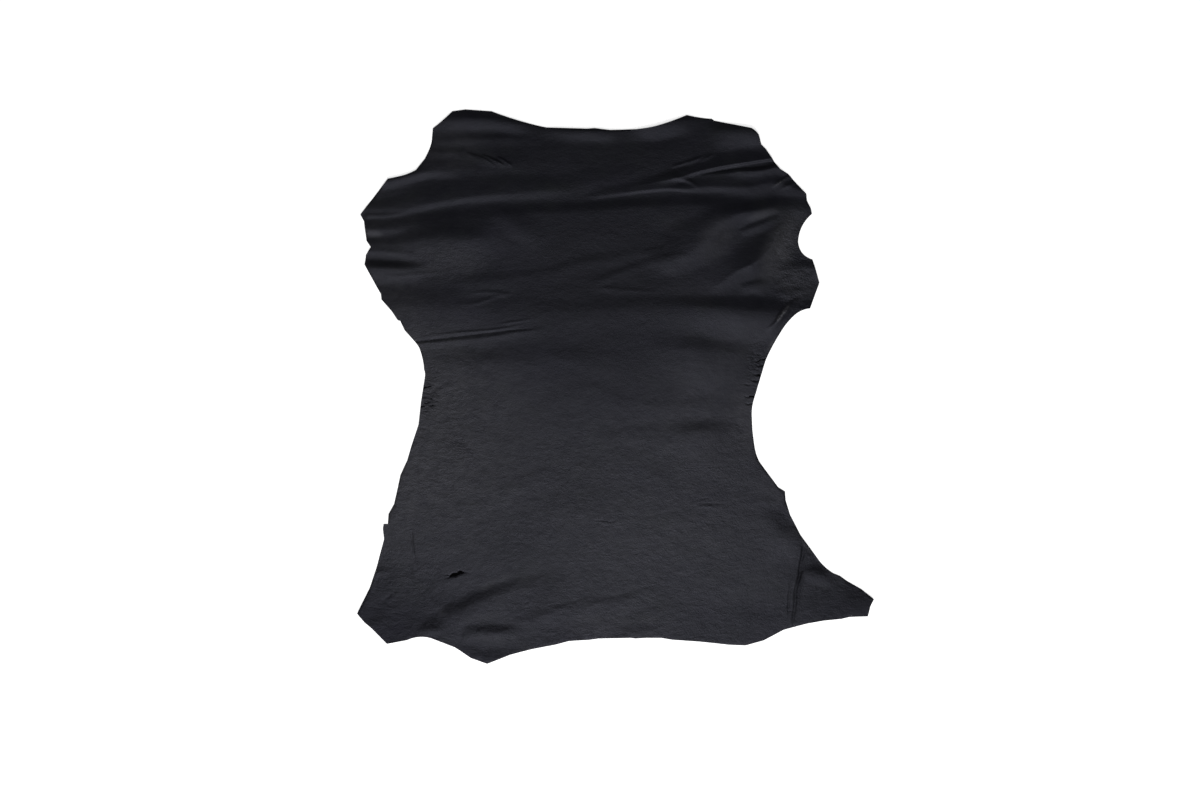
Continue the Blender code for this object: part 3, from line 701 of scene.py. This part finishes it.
def nearest_on_line(
    points: np.ndarray, line: np.ndarray
) -> tuple[np.ndarray, np.ndarray, np.ndarray]:
    """Find where a line passes closest to each point.

    Args:
        points: The points, one a row.
        line: The line's own points, one a row.

    Returns:
        The distance of each point, the stretch of line it is nearest, and the share along it.
    """
    best = np.full(len(points), np.inf)
    stretch = np.zeros(len(points), int)
    along = np.zeros(len(points))
    for i in range(len(line) - 1):
        step = line[i + 1] - line[i]
        t = np.clip((points - line[i]) @ step / (step @ step), 0, 1)
        gap = np.linalg.norm(points - line[i] - t[:, None] * step, axis=1)
        closer = gap < best
        best[closer] = gap[closer]
        stretch[closer] = i
        along[closer] = t[closer]
    return best, stretch, along


def inside(points: np.ndarray, line: np.ndarray) -> np.ndarray:
    """Tell which points lie within a closed line.

    Args:
        points: The points, one a row.
        line: The closed line's points, one a row.

    Returns:
        True for each point within it.
    """
    x, y = points.T
    found = np.zeros(len(points), bool)
    for (x0, y0), (x1, y1) in zip(line, np.roll(line, -1, axis=0)):
        if y0 == y1:
            continue
        crosses = (y0 > y) != (y1 > y)
        found ^= crosses & (x < (x1 - x0) * (y - y0) / (y1 - y0) + x0)
    return found


def shoelace(line: np.ndarray) -> float:
    """Return the area within a closed line."""
    x, y = line.T
    return abs(float(x @ np.roll(y, -1) - y @ np.roll(x, -1))) / 2


def near(points: np.ndarray, rows: np.ndarray, reach: float) -> np.ndarray:
    """Pick out the points that lie about a line.

    Args:
        points: The points, one a row.
        rows: The line's rows, each beginning with its x and y.
        reach: How far past the line's box a point may lie.

    Returns:
        The numbers of the points picked.
    """
    low = rows[:, :2].min(axis=0) - reach
    high = rows[:, :2].max(axis=0) + reach
    return np.flatnonzero(np.all((points > low) & (points < high), axis=1))


@dataclass(frozen=True)
class Relief:
    """The rise and fall of the sheet: its folds, creases, scratches and patches.

    Each stretch between two stations is drawn in steps. A cut fades out at cut_fade half widths
    and is looked for within cut_box of them; a patch fades out at patch_fade. A cut strays from
    its line by up to jag, over lengths of jag_length.
    """

    steps: int = 8
    deepest: float = -0.85
    jag: float = 1.0
    jag_length: float = 6.0
    jag_seeds: Pair = (10.5, 11.5)
    cut_box: float = 2.0
    cut_fade: float = 1.6
    patch_fade: float = 1.3

    def fold(self, points: np.ndarray, fold: Fold) -> np.ndarray:
        """Work out how far one fold lifts each point.

        Args:
            points: The points in plan.
            fold: The fold.

        Returns:
            The lift of each point.
        """
        rows = smoothed(fold.stations, self.steps)
        lift = np.zeros(len(points))
        chosen = near(points, rows, rows[:, 3:].max())
        spot = points[chosen]
        gap, stretch, along = nearest_on_line(spot, rows[:, :2])
        here = rows[stretch] + (rows[stretch + 1] - rows[stretch]) * along[:, None]
        step = rows[stretch + 1, :2] - rows[stretch, :2]
        away = spot - here[:, :2]
        over = step[:, 0] * away[:, 1] - step[:, 1] * away[:, 0] > 0
        u = np.clip(gap / np.where(over, here[:, 3], here[:, 4]), 0, 1)
        round_top = (1 - u) ** 2 * (1 + 2 * u)
        sharp_top = (1 - u) ** 2
        shape = (1 - fold.crisp) * round_top + fold.crisp * sharp_top
        lift[chosen] = np.maximum(here[:, 2], 0) * shape
        return lift

    def cut(self, points: np.ndarray, cuts: Sequence[Cut]) -> tuple[np.ndarray, np.ndarray]:
        """Work out one scratch or gash.

        Args:
            points: The points in plan.
            cuts: The places along it.

        Returns:
            Its depth at each point, and how strongly it is painted near black there from 0 to 1:
            bare fibres in a gash or crack, painted shade in a tight crease.
        """
        rows = smoothed(cuts, self.steps)
        depth = np.zeros(len(points))
        torn_and_shade = np.zeros(len(points))
        chosen = near(points, rows, self.cut_box * rows[:, 3].max())
        spot = points[chosen]
        size = (self.jag_length, self.jag_length)
        stray = [self.rough(spot, *size, seed) for seed in self.jag_seeds]
        spot = spot + self.jag * np.stack(stray, axis=1)
        gap, stretch, along = nearest_on_line(spot, rows[:, :2])
        here = rows[stretch] + (rows[stretch + 1] - rows[stretch]) * along[:, None]
        within = np.clip(self.cut_fade - gap / here[:, 3], 0, 1)
        wall = within**2 * (3 - 2 * within)
        deep = np.maximum(here[:, 2], 0)
        depth[chosen] = deep * wall
        torn_and_shade[chosen] = wall * np.clip(deep, 0, 1)
        return depth, torn_and_shade

    def patch(self, points: np.ndarray, patch: Patch) -> np.ndarray:
        """Work out how strongly a patch covers each point.

        Args:
            points: The points in plan.
            patch: The patch.

        Returns:
            Its strength at each point.
        """
        turn = math.radians(patch.turn)
        x, y = (points - (patch.x, patch.y)).T
        u = (x * math.cos(turn) + y * math.sin(turn)) / patch.half_length
        v = (y * math.cos(turn) - x * math.sin(turn)) / patch.half_width
        within = np.clip(self.patch_fade - np.hypot(u, v), 0, 1)
        return patch.strength * within**2 * (3 - 2 * within)

    def marks(self, points: np.ndarray) -> dict[Mark, np.ndarray]:
        """Work out how strongly each mark shows.

        Args:
            points: The points in plan.

        Returns:
            Each mark's strength at each point, from 0 to 1.
        """
        found = {mark: np.zeros(len(points)) for mark in Mark}
        for mark, patches in PATCHES.items():
            for patch in patches:
                found[mark] = 1 - (1 - found[mark]) * (1 - self.patch(points, patch))
        for cuts in TEARS_AND_SHADED_CREASES:
            found[Mark.TORN_AND_SHADE] = np.maximum(found[Mark.TORN_AND_SHADE], self.cut(points, cuts)[1])
        return found

    def under(self, points: np.ndarray) -> np.ndarray:
        """Return the height of the flesh side above the floor."""
        return sum(self.fold(points, fold) for fold in MAIN_FOLDS + FINE_CREASES)

    def rough(self, points: np.ndarray, along: float, across: float, seed: float) -> np.ndarray:
        """Return an uneven rise and fall between -1 and 1, as long and as wide as asked."""
        return np.array([noise.noise((x / along, y / across, seed)) for x, y in points])

    def grain(self, points: np.ndarray) -> np.ndarray:
        """Work out how far the grain side rises or dips by itself.

        Args:
            points: The points in plan.

        Returns:
            The rise of each point above the leather's even thickness.
        """
        marks = self.marks(points)
        rise = np.zeros(len(points))
        for along, across, seed, height, mark, more in SWELLS:
            rise += (height + more * marks[mark]) * self.rough(points, along, across, seed)
        dips = np.zeros(len(points))
        for along, across, seed, wall, depth in FURROWS:
            bank = np.abs(self.rough(points, along, across, seed)) / wall
            dips += depth * (1 - np.clip(bank, 0, 1))
        rise -= marks[Mark.LOOSE] * dips
        rise += sum(self.fold(points, line) for line in GRAIN_LINES)
        for cuts in TEARS_AND_SHADED_CREASES + SEAMS:
            rise -= self.cut(points, cuts)[0]
        return np.maximum(rise, self.deepest)


class Cloud(NamedTuple):
    """A soft random pattern.

    Its scale is the number of its blobs in a metre, detail its finer layers and rough their
    strength. It may be stretched and turned, and moved from one span of values to another.
    """

    scale: float
    detail: float
    rough: float = 0.5
    stretch: Triple | None = None
    turn: float = 0.0
    span: Pair | None = None
    to: Pair = (0.0, 1.0)


class Nodes:
    """A short hand for wiring one material."""

    def __init__(self, name: str) -> None:
        """Start a material.

        Args:
            name: The material's name.
        """
        self.material = bpy.data.materials.new(name)
        self.material.use_nodes = True
        self.tree = self.material.node_tree
        self.places = self.node("ShaderNodeTexCoord", "Object", {})

    def fill(self, node: bpy.types.Node, values: dict[str | int, object]) -> None:
        """Put numbers, colours or other nodes' outputs into a node's sockets.

        Args:
            node: The node.
            values: What goes into each socket, by the socket's name or number.
        """
        for name, value in values.items():
            if isinstance(value, Socket):
                self.tree.links.new(value, node.inputs[name])
            else:
                node.inputs[name].default_value = value

    def node(
        self, kind: str, output: str | int, values: dict[str | int, object], **settings: object
    ) -> Socket:
        """Add a node.

        Args:
            kind: Its type.
            output: The output that is wanted.
            values: What goes into each of its sockets.
            settings: Its own settings.

        Returns:
            The output.
        """
        node = self.tree.nodes.new(kind)
        for name, value in settings.items():
            setattr(node, name, value)
        self.fill(node, values)
        return node.outputs[output]

    def surface(self, values: dict[str | int, object]) -> bpy.types.Material:
        """Fill the shader's own sockets, and return the finished material."""
        self.fill(self.tree.nodes["Principled BSDF"], values)
        return self.material

    def cloud(self, cloud: Cloud) -> Socket:
        """Add a soft random pattern.

        Args:
            cloud: Its sizes.

        Returns:
            The pattern's value.
        """
        places = self.places
        if cloud.stretch:
            values = {
                "Vector": places,
                "Rotation": (0.0, 0.0, math.radians(cloud.turn)),
                "Scale": cloud.stretch,
            }
            places = self.node("ShaderNodeMapping", "Vector", values)
        values = {
            "Vector": places,
            "Scale": cloud.scale,
            "Detail": cloud.detail,
            "Roughness": cloud.rough,
        }
        value = self.node("ShaderNodeTexNoise", "Fac", values)
        return self.ranged(value, cloud.span, cloud.to) if cloud.span else value

    def pores(self, scale: float) -> Socket:
        """Return the distance to the nearest of many scattered pores."""
        values = {"Vector": self.places, "Scale": scale}
        return self.node("ShaderNodeTexVoronoi", "Distance", values, feature="F1")

    def ranged(self, value: Socket, span: Pair, to: Pair = (0.0, 1.0)) -> Socket:
        """Move a value from one span to another and hold it there.

        Args:
            value: The value.
            span: The span it is moved from.
            to: The span it is moved to.

        Returns:
            The moved value.
        """
        names = ("Value", "From Min", "From Max", "To Min", "To Max")
        values = dict(zip(names, (value, *span, *to)))
        return self.node("ShaderNodeMapRange", "Result", values, clamp=True)

    def maths(self, operation: str, first: object, second: object) -> Socket:
        """Return the outcome of one sum on two values."""
        return self.node("ShaderNodeMath", 0, {0: first, 1: second}, operation=operation)

    def mark(self, mark: Mark) -> Socket:
        """Return how strongly a mark shows."""
        return self.node("ShaderNodeAttribute", "Fac", {}, attribute_name=mark.value)

    def mixed(self, share: object, first: object, second: object) -> Socket:
        """Return one colour blended into another."""
        values = {"Factor": share, "A": first, "B": second}
        return self.node("ShaderNodeMix", "Result", values, data_type="RGBA")

    def bump(
        self, height: Socket, strength: object, depth: float, onto: Socket | None = None
    ) -> Socket:
        """Turn the surface's direction by a fine relief.

        Args:
            height: The relief, from 0 to 1.
            strength: How much of it shows.
            depth: Its depth in metres.
            onto: A coarser relief that it is added to, if any.

        Returns:
            The direction.
        """
        values = {"Height": height, "Strength": strength, "Distance": depth}
        if onto is not None:
            values["Normal"] = onto
        return self.node("ShaderNodeBump", "Normal", values)


@dataclass(frozen=True)
class GrainFinish:
    """The dyed grain side: near black, softly shining, with fine pores and wrinkles, and painted
    sheen, highlights and shade in its colour.
    """

    black: Colour = (0.0046, 0.0048, 0.0066, 1.0)
    cool: Colour = (0.0070, 0.0068, 0.0102, 1.0)
    warm: Colour = (0.0060, 0.0068, 0.0070, 1.0)
    # Paler dye, also used as painted sheen and painted highlights.
    pale: Colour = (0.0330, 0.0330, 0.0362, 1.0)
    # Deeper dye, also used as painted shade.
    deep: Colour = (0.0010, 0.0010, 0.0012, 1.0)
    # The gash and cracks, also used as painted shade in tight creases.
    torn_and_shade: Colour = (0.0014, 0.0014, 0.0016, 1.0)
    # Wear, also used as painted highlights on fold crests.
    worn_and_highlight: Colour = (0.1000, 0.1000, 0.1050, 1.0)
    gleam: Colour = (0.80, 0.81, 1.0, 1.0)
    specular: float = 0.26
    hues: Cloud = Cloud(9, 3, stretch=(1, 1.6, 1), span=(0.35, 0.65))
    dapple: Cloud = Cloud(45, 4, span=(0.35, 0.65))
    patchy: Cloud = Cloud(55, 5, 0.65, (1, 1.4, 1), 15, span=(0.3, 0.7), to=(0.5, 1.3))
    # The speckle of the wear and of the painted highlights.
    scuffs_and_glints: Cloud = Cloud(420, 3, 0.6, span=(0.42, 0.6), to=(0.1, 1))
    roughness: Cloud = Cloud(16, 4, 0.6, (1, 2.2, 1), span=(0.3, 0.7), to=(0.425, 0.495))
    matt_roughness: float = 0.08
    wrinkles: Cloud = Cloud(125, 4, 0.68, (0.62, 1, 1), 3)
    wrinkle_depth: float = 0.0024
    pore_scale: float = 560.0
    pore_depth: float = 0.0005
    relief: float = 0.17
    coarse_relief: float = 0.84
    loose_relief: float = 0.4

    def made(self) -> bpy.types.Material:
        """Wire the dye and its marks, painted sheen, highlights and shade among them, the shine,
        and the wrinkles and pores.

        Returns:
            The finished material.
        """
        n = Nodes("dyed_grain")
        body = n.mixed(n.cloud(self.hues), self.warm, self.cool)
        body = n.mixed(n.cloud(self.dapple), body, self.black)
        # Paler dye, with painted sheen and highlights.
        paler = n.maths("MULTIPLY", n.mark(Mark.PALE_AND_SHEEN), n.cloud(self.patchy))
        body = n.mixed(paler, body, self.pale)
        # Deeper dye and painted shade.
        body = n.mixed(n.mark(Mark.DEEP_AND_SHADE), body, self.deep)
        # Wear, with painted highlights on fold crests.
        rubbed_and_highlit = n.maths("MULTIPLY", n.mark(Mark.WORN_AND_HIGHLIGHT), n.cloud(self.scuffs_and_glints))
        body = n.mixed(rubbed_and_highlit, body, self.worn_and_highlight)
        matt = n.maths("MULTIPLY", n.mark(Mark.MATT), self.matt_roughness)
        coarse = n.maths("MULTIPLY", n.mark(Mark.COARSE), self.coarse_relief)
        loose = n.maths("MULTIPLY", n.mark(Mark.LOOSE), self.loose_relief)
        shows = n.maths("ADD", n.maths("ADD", coarse, loose), self.relief)
        wrinkled = n.bump(n.cloud(self.wrinkles), shows, self.wrinkle_depth)
        return n.surface({
            # The gash and cracks near black, and painted shade in tight creases.
            "Base Color": n.mixed(n.mark(Mark.TORN_AND_SHADE), body, self.torn_and_shade),
            "Roughness": n.maths("ADD", n.cloud(self.roughness), matt),
            "Specular IOR Level": self.specular,
            "Specular Tint": self.gleam,
            "Normal": n.bump(n.pores(self.pore_scale), shows, self.pore_depth, wrinkled),
        })


@dataclass(frozen=True)
class FleshFinish:
    """The flesh side: dyed through, dull and napped."""

    dark: Colour = (0.016, 0.016, 0.019, 1.0)
    light: Colour = (0.034, 0.034, 0.038, 1.0)
    roughness: float = 0.93
    specular: float = 0.2
    sheen: float = 0.25
    sheen_roughness: float = 0.5
    nap: Cloud = Cloud(210, 6, 0.7, (1, 1.5, 1), 20)
    brushed: Cloud = Cloud(14, 3, span=(0.3, 0.7), to=(0.5, 1.2))
    fibres: Cloud = Cloud(900, 4, 0.6, (1, 1.8, 1), 20)
    relief: float = 0.6
    depth: float = 0.0006

    def made(self) -> bpy.types.Material:
        """Wire the brushed nap and its fibres.

        Returns:
            The finished material.
        """
        n = Nodes("napped_flesh")
        share = n.maths("MULTIPLY", n.cloud(self.nap), n.cloud(self.brushed))
        return n.surface({
            "Base Color": n.mixed(share, self.dark, self.light),
            "Roughness": self.roughness,
            "Specular IOR Level": self.specular,
            "Sheen Weight": self.sheen,
            "Sheen Roughness": self.sheen_roughness,
            "Normal": n.bump(n.cloud(self.fibres), self.relief, self.depth),
        })


@dataclass(frozen=True)
class TornAndShadeFinish:
    """The fibres laid bare in a gash: dull, ragged and blackest of all, the blackest pits being
    painted shade in the gash.
    """

    # Painted shade in the gash's pits.
    shaded_pit: Colour = (0.0008, 0.0008, 0.0010, 1.0)
    fibre: Colour = (0.0040, 0.0040, 0.0046, 1.0)
    roughness: float = 0.95
    specular: float = 0.03
    fibres: Cloud = Cloud(800, 4, 0.65, (0.5, 1, 1), 15)
    fibre_span: Pair = (0.5, 0.8)
    relief: float = 0.8
    depth: float = 0.0008

    def made(self) -> bpy.types.Material:
        """Wire the bare fibres and the painted shade between them.

        Returns:
            The finished material.
        """
        n = Nodes("torn_fibres_and_shade")
        fibres = n.cloud(self.fibres)
        return n.surface({
            "Base Color": n.mixed(n.ranged(fibres, self.fibre_span), self.shaded_pit, self.fibre),
            "Roughness": self.roughness,
            "Specular IOR Level": self.specular,
            "Normal": n.bump(fibres, self.relief, self.depth),
        })


@dataclass(frozen=True)
class EdgeFinish:
    """The raw cut edge, where the dye has struck through the fibres."""

    fibre: Colour = (0.014, 0.014, 0.018, 1.0)
    struck: Colour = (0.006, 0.006, 0.008, 1.0)
    roughness: float = 0.85
    layers: Cloud = Cloud(420, 4, 0.65, (1, 1, 6))
    layer_span: Pair = (0.3, 0.7)
    relief: float = 0.5
    depth: float = 0.0004

    def made(self) -> bpy.types.Material:
        """Wire the layers of fibre that show at the cut.

        Returns:
            The finished material.
        """
        n = Nodes("cut_edge")
        layers = n.cloud(self.layers)
        return n.surface({
            "Base Color": n.mixed(n.ranged(layers, self.layer_span), self.struck, self.fibre),
            "Roughness": self.roughness,
            "Normal": n.bump(layers, self.relief, self.depth),
        })


@dataclass(frozen=True)
class FloorFinish:
    """The pale studio floor, a light table that glows a little."""

    pale: Colour = (0.86, 0.86, 0.87, 1.0)
    paler: Colour = (0.89, 0.89, 0.89, 1.0)
    blots: Cloud = Cloud(3, 3)
    roughness: float = 0.9
    specular: float = 0.15
    glow: float = 0.7

    def made(self) -> bpy.types.Material:
        """Wire the floor's faint blots and its glow.

        Returns:
            The finished material.
        """
        n = Nodes("pale_floor")
        return n.surface({
            "Base Color": n.mixed(n.cloud(self.blots), self.pale, self.paler),
            "Roughness": self.roughness,
            "Specular IOR Level": self.specular,
            "Emission Color": self.paler,
            "Emission Strength": self.glow,
        })


@dataclass(frozen=True)
class Hide:
    """The whole skin: a grain side and a flesh side, closed round the cut edge.

    The cut edge has one ring of points for each share of the thickness in ring_heights. It is
    rounded outwards by edge_round, and nibbled by up to edge_nibble times that.
    """

    thickness: float = 1.2
    edge_step: float = 3.6
    edge_round: float = 0.2
    edge_nibble: float = 0.35
    nibble_length: float = 7.0
    nibble_seed: float = 9.5
    ring_heights: Pair = (0.8, 0.25)
    clear_of_edge: float = 0.45
    net_stretch: float = 1.9
    net_stagger: Pair = (0.25, 0.75)
    net_join: float = 1e-6
    torn_from: float = 0.8
    smooth_within: float = 50.0
    relief: Relief = Relief()

    def edge_line(self) -> np.ndarray:
        """Work out the trimmed edge.

        Returns:
            Its points in plan, as one closed clockwise line.
        """
        line = []
        for start, end in zip(OUTLINE, OUTLINE[1:] + OUTLINE[:1]):
            a = np.array((start.x, start.y))
            b = np.array((end.x, end.y))
            chord = b - a
            length = float(np.hypot(*chord))
            outward = np.array((-chord[1], chord[0])) / length
            pieces = math.ceil(length / self.edge_step)
            for t in np.arange(pieces) / pieces:
                line.append(a + chord * t + outward * start.bow * 4 * t * (1 - t))
        return np.array(line)

    def area(self) -> float:
        """Return the leather's area in square metres."""
        return shoelace(self.edge_line()) * MM * MM

    def net_points(self, line: np.ndarray, zones: Sequence[Zone]) -> np.ndarray:
        """Set out the points of a net, each zone giving way to those before it.

        Args:
            line: The edge.
            zones: The boxes with their spacings, finest first.

        Returns:
            The points within the edge.
        """
        closed = np.vstack((line, line[:1]))
        found = []
        for i, zone in enumerate(zones):
            spots = []
            rows = np.arange(zone.bottom + zone.across / 2, zone.top, zone.across)
            for row, y in enumerate(rows):
                start = zone.left + zone.along * self.net_stagger[row % 2]
                spots += [(x, y) for x in np.arange(start, zone.right, zone.along)]
            points = np.array(spots)
            for finer in zones[:i]:
                x, y = points.T
                beside = (x <= finer.left) | (x >= finer.right)
                points = points[beside | (y <= finer.bottom) | (y >= finer.top)]
            points = points[inside(points, line)]
            gap = nearest_on_line(points, closed)[0]
            found.append(points[gap > self.clear_of_edge * zone.across])
        return np.vstack(found)

    def net(
        self, line: np.ndarray, zones: Sequence[Zone]
    ) -> tuple[np.ndarray, np.ndarray, list[int]]:
        """Join a net's points and the edge into triangles.

        Args:
            line: The edge.
            zones: The boxes with their spacings.

        Returns:
            The flat points, the triangles facing up, and the edge as a loop of points.
        """
        points = np.vstack((line, self.net_points(line, zones)))
        stretched = [tuple(point) for point in points * (1, self.net_stretch)]
        loop = [(i, (i + 1) % len(line)) for i in range(len(line))]
        made = delaunay_2d_cdt(stretched, loop, [], WITHIN_EDGE, self.net_join)
        flat = np.array([(p.x, p.y / self.net_stretch) for p in made[0]])
        triangles = np.array(made[2])
        a, b, c = (flat[triangles[:, i]] for i in range(3))
        ab = b - a
        ac = c - a
        turned = ab[:, 0] * ac[:, 1] - ab[:, 1] * ac[:, 0] < 0
        triangles[turned] = triangles[turned][:, ::-1]
        order = {old: new for new, olds in enumerate(made[3]) for old in olds}
        return flat, triangles, [order[i] for i in range(len(line))]

    def rings(self, line: np.ndarray, lift: np.ndarray) -> list[np.ndarray]:
        """Set out the rings of points down the cut edge.

        Args:
            line: The edge.
            lift: How high the flesh side stands at each of its points.

        Returns:
            The points of each ring, the upper one first.
        """
        step = np.roll(line, -1, axis=0) - np.roll(line, 1, axis=0)
        outward = np.stack((-step[:, 1], step[:, 0]), axis=1) / np.hypot(*step.T)[:, None]
        size = (self.nibble_length, self.nibble_length)
        nibble = self.edge_nibble * self.relief.rough(line, *size, self.nibble_seed)[:, None]
        plan = line + outward * self.edge_round * (1 + nibble)
        heights = [lift + self.thickness * share for share in self.ring_heights]
        return [np.column_stack((plan, height)) for height in heights]

    def build(self) -> bpy.types.Object:
        """Build the hide's mesh, with a material slot for each face and its marks.

        Returns:
            The finished piece.
        """
        line = self.edge_line()
        grain, grain_faces, grain_loop = self.net(line, TOP_ZONES)
        flesh, flesh_faces, flesh_loop = self.net(line, UNDER_ZONES)
        lift = self.relief.under(grain)
        top = np.column_stack((grain, lift + self.thickness + self.relief.grain(grain)))
        top[grain_loop, 2] = lift[grain_loop] + self.thickness
        under = np.column_stack((flesh, self.relief.under(flesh)))
        rings = self.rings(line, lift[grain_loop])
        places = np.vstack((top, under, *rings))
        marks = self.relief.marks(places[:, :2])
        # Faces painted blackest take the finish of bare fibres, whose pits are painted shade.
        torn_and_shade = marks[Mark.TORN_AND_SHADE][grain_faces].mean(axis=1) > self.torn_from
        flesh_up = flesh_faces[:, ::-1] + len(top)
        faces = [*map(tuple, grain_faces.tolist()), *map(tuple, flesh_up.tolist())]
        sides = [Face.TORN_AND_SHADE if bare else Face.GRAIN for bare in torn_and_shade]
        sides += [Face.FLESH] * len(flesh_up)
        first = len(top) + len(under)
        starts = [first + i * len(line) for i in range(len(rings))]
        loops = [grain_loop, *(range(start, start + len(line)) for start in starts)]
        loops.append([i + len(top) for i in flesh_loop])
        for upper, lower in zip(loops, loops[1:]):
            for i in range(len(line)):
                j = (i + 1) % len(line)
                faces.append((upper[i], upper[j], lower[j], lower[i]))
                sides.append(Face.EDGE)
        mesh = bpy.data.meshes.new("whole_hide")
        mesh.from_pydata((places * MM).tolist(), [], faces)
        mesh.polygons.foreach_set("material_index", [int(side) for side in sides])
        for mark, strength in marks.items():
            attribute = mesh.attributes.new(mark.value, "FLOAT", "POINT")
            attribute.data.foreach_set("value", strength)
        piece = bpy.data.objects.new("whole_hide", mesh)
        bpy.context.scene.collection.objects.link(piece)
        return piece

    def dress(self, piece: bpy.types.Object) -> None:
        """Give the hide its finishes, its smooth shading and its place in the frame.

        Args:
            piece: The hide's mesh.
        """
        for finish in (GrainFinish(), FleshFinish(), EdgeFinish(), TornAndShadeFinish()):
            piece.data.materials.append(finish.made())
        bpy.ops.object.select_all(action="DESELECT")
        piece.select_set(True)
        bpy.context.view_layer.objects.active = piece
        bpy.ops.object.shade_smooth_by_angle(angle=math.radians(self.smooth_within))
        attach(piece, "root")
        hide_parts("hide")


@dataclass(frozen=True)
class Softbox:
    """A soft rectangular light: where it stands, what it points at, its size and power."""

    name: str
    place: Triple
    aim: Triple
    width: float
    height: float
    power: float
    colour: Triple = (1.0, 1.0, 1.0)

    def build(self) -> bpy.types.Object:
        """Build the light and turn it to its aim.

        Returns:
            The light.
        """
        light = bpy.data.lights.new(self.name, "AREA")
        light.shape = "RECTANGLE"
        light.size = self.width
        light.size_y = self.height
        light.energy = self.power
        light.color = self.colour
        lamp = bpy.data.objects.new(self.name, light)
        bpy.context.scene.collection.objects.link(lamp)
        lamp.location = self.place
        away = Vector(self.aim) - Vector(self.place)
        lamp.rotation_euler = away.to_track_quat("-Z", "Y").to_euler()
        return lamp


@dataclass(frozen=True)
class Studio:
    """The pale floor, the soft lights, the room and the camera straight above.

    The room is as bright as walls up to the lower share of its height in fade, and as dim as
    ceiling from the upper one.
    """

    floor_side: float = 40.0
    camera_place: Triple = (-0.0248, -0.0216, 3.0)
    view_width: float = 1.92
    sensor_width: float = 36.0
    clip_end: float = 100.0
    walls: float = 0.5
    ceiling: float = 0.02
    fade: Pair = (0.1, 0.6)
    room_colour: Colour = (1.0, 1.0, 1.0, 1.0)
    key: Softbox = Softbox("key", (0.0, -2.2, 2.2), (0.0, 0.0, 0.0), 2.4, 1.3, 62.0)
    top: Softbox = Softbox("top", (0.0, -0.55, 2.9), (0.0, -0.1, 0.0), 0.8, 0.5, 19.0)

    def floor(self) -> bpy.types.Object:
        """Build the floor, just under the hide.

        Returns:
            The floor.
        """
        bpy.ops.object.select_all(action="DESELECT")
        bpy.ops.mesh.primitive_plane_add(size=self.floor_side, location=(0, 0, 0))
        floor = bpy.context.active_object
        floor.name = "studio_floor"
        floor.data.materials.append(FloorFinish().made())
        return floor

    def walls_and_ceiling(self) -> None:
        """Light the room evenly: pale walls and a dim ceiling."""
        world = bpy.data.worlds.new("room")
        bpy.context.scene.world = world
        world.use_nodes = True
        tree = world.node_tree
        place = tree.nodes.new("ShaderNodeTexCoord")
        split = tree.nodes.new("ShaderNodeSeparateXYZ")
        ramp = tree.nodes.new("ShaderNodeMapRange")
        tree.links.new(place.outputs["Generated"], split.inputs["Vector"])
        tree.links.new(split.outputs["Z"], ramp.inputs["Value"])
        names = ("From Min", "From Max", "To Min", "To Max")
        for name, value in zip(names, (*self.fade, self.walls, self.ceiling)):
            ramp.inputs[name].default_value = value
        background = tree.nodes["Background"]
        tree.links.new(ramp.outputs["Result"], background.inputs["Strength"])
        background.inputs["Color"].default_value = self.room_colour

    def camera(self) -> bpy.types.Object:
        """Build the camera, straight above, with the neck at the top of the picture.

        Returns:
            The camera.
        """
        data = bpy.data.cameras.new("above")
        data.sensor_width = self.sensor_width
        data.lens = self.camera_place[2] * self.sensor_width / self.view_width
        data.clip_end = self.clip_end
        camera = bpy.data.objects.new("above", data)
        camera.location = self.camera_place
        bpy.context.scene.collection.objects.link(camera)
        bpy.context.scene.camera = camera
        return camera

    def build(self) -> None:
        """Build the floor, the lights, the room and the camera."""
        self.floor()
        self.key.build()
        self.top.build()
        self.walls_and_ceiling()
        self.camera()
        bpy.context.scene.view_settings.view_transform = "Standard"


def report(name: str, piece: bpy.types.Object) -> None:
    """Say in the log how large a finished piece is and how many faces it has."""
    size = tuple(round(side, 4) for side in piece.dimensions)
    LOG.info("%s: %s m, %d faces", name, size, len(piece.data.polygons))


def main() -> None:
    """Build the hide and the studio round it, and report each."""
    logging.basicConfig(level=logging.INFO, format="%(name)s %(message)s")
    hide = Hide()
    skin = hide.build()
    hide.dress(skin)
    report("whole hide", skin)
    Studio().build()
    LOG.info("leather area %.4f sq m", hide.area())


if __name__ == "__main__":
    main()
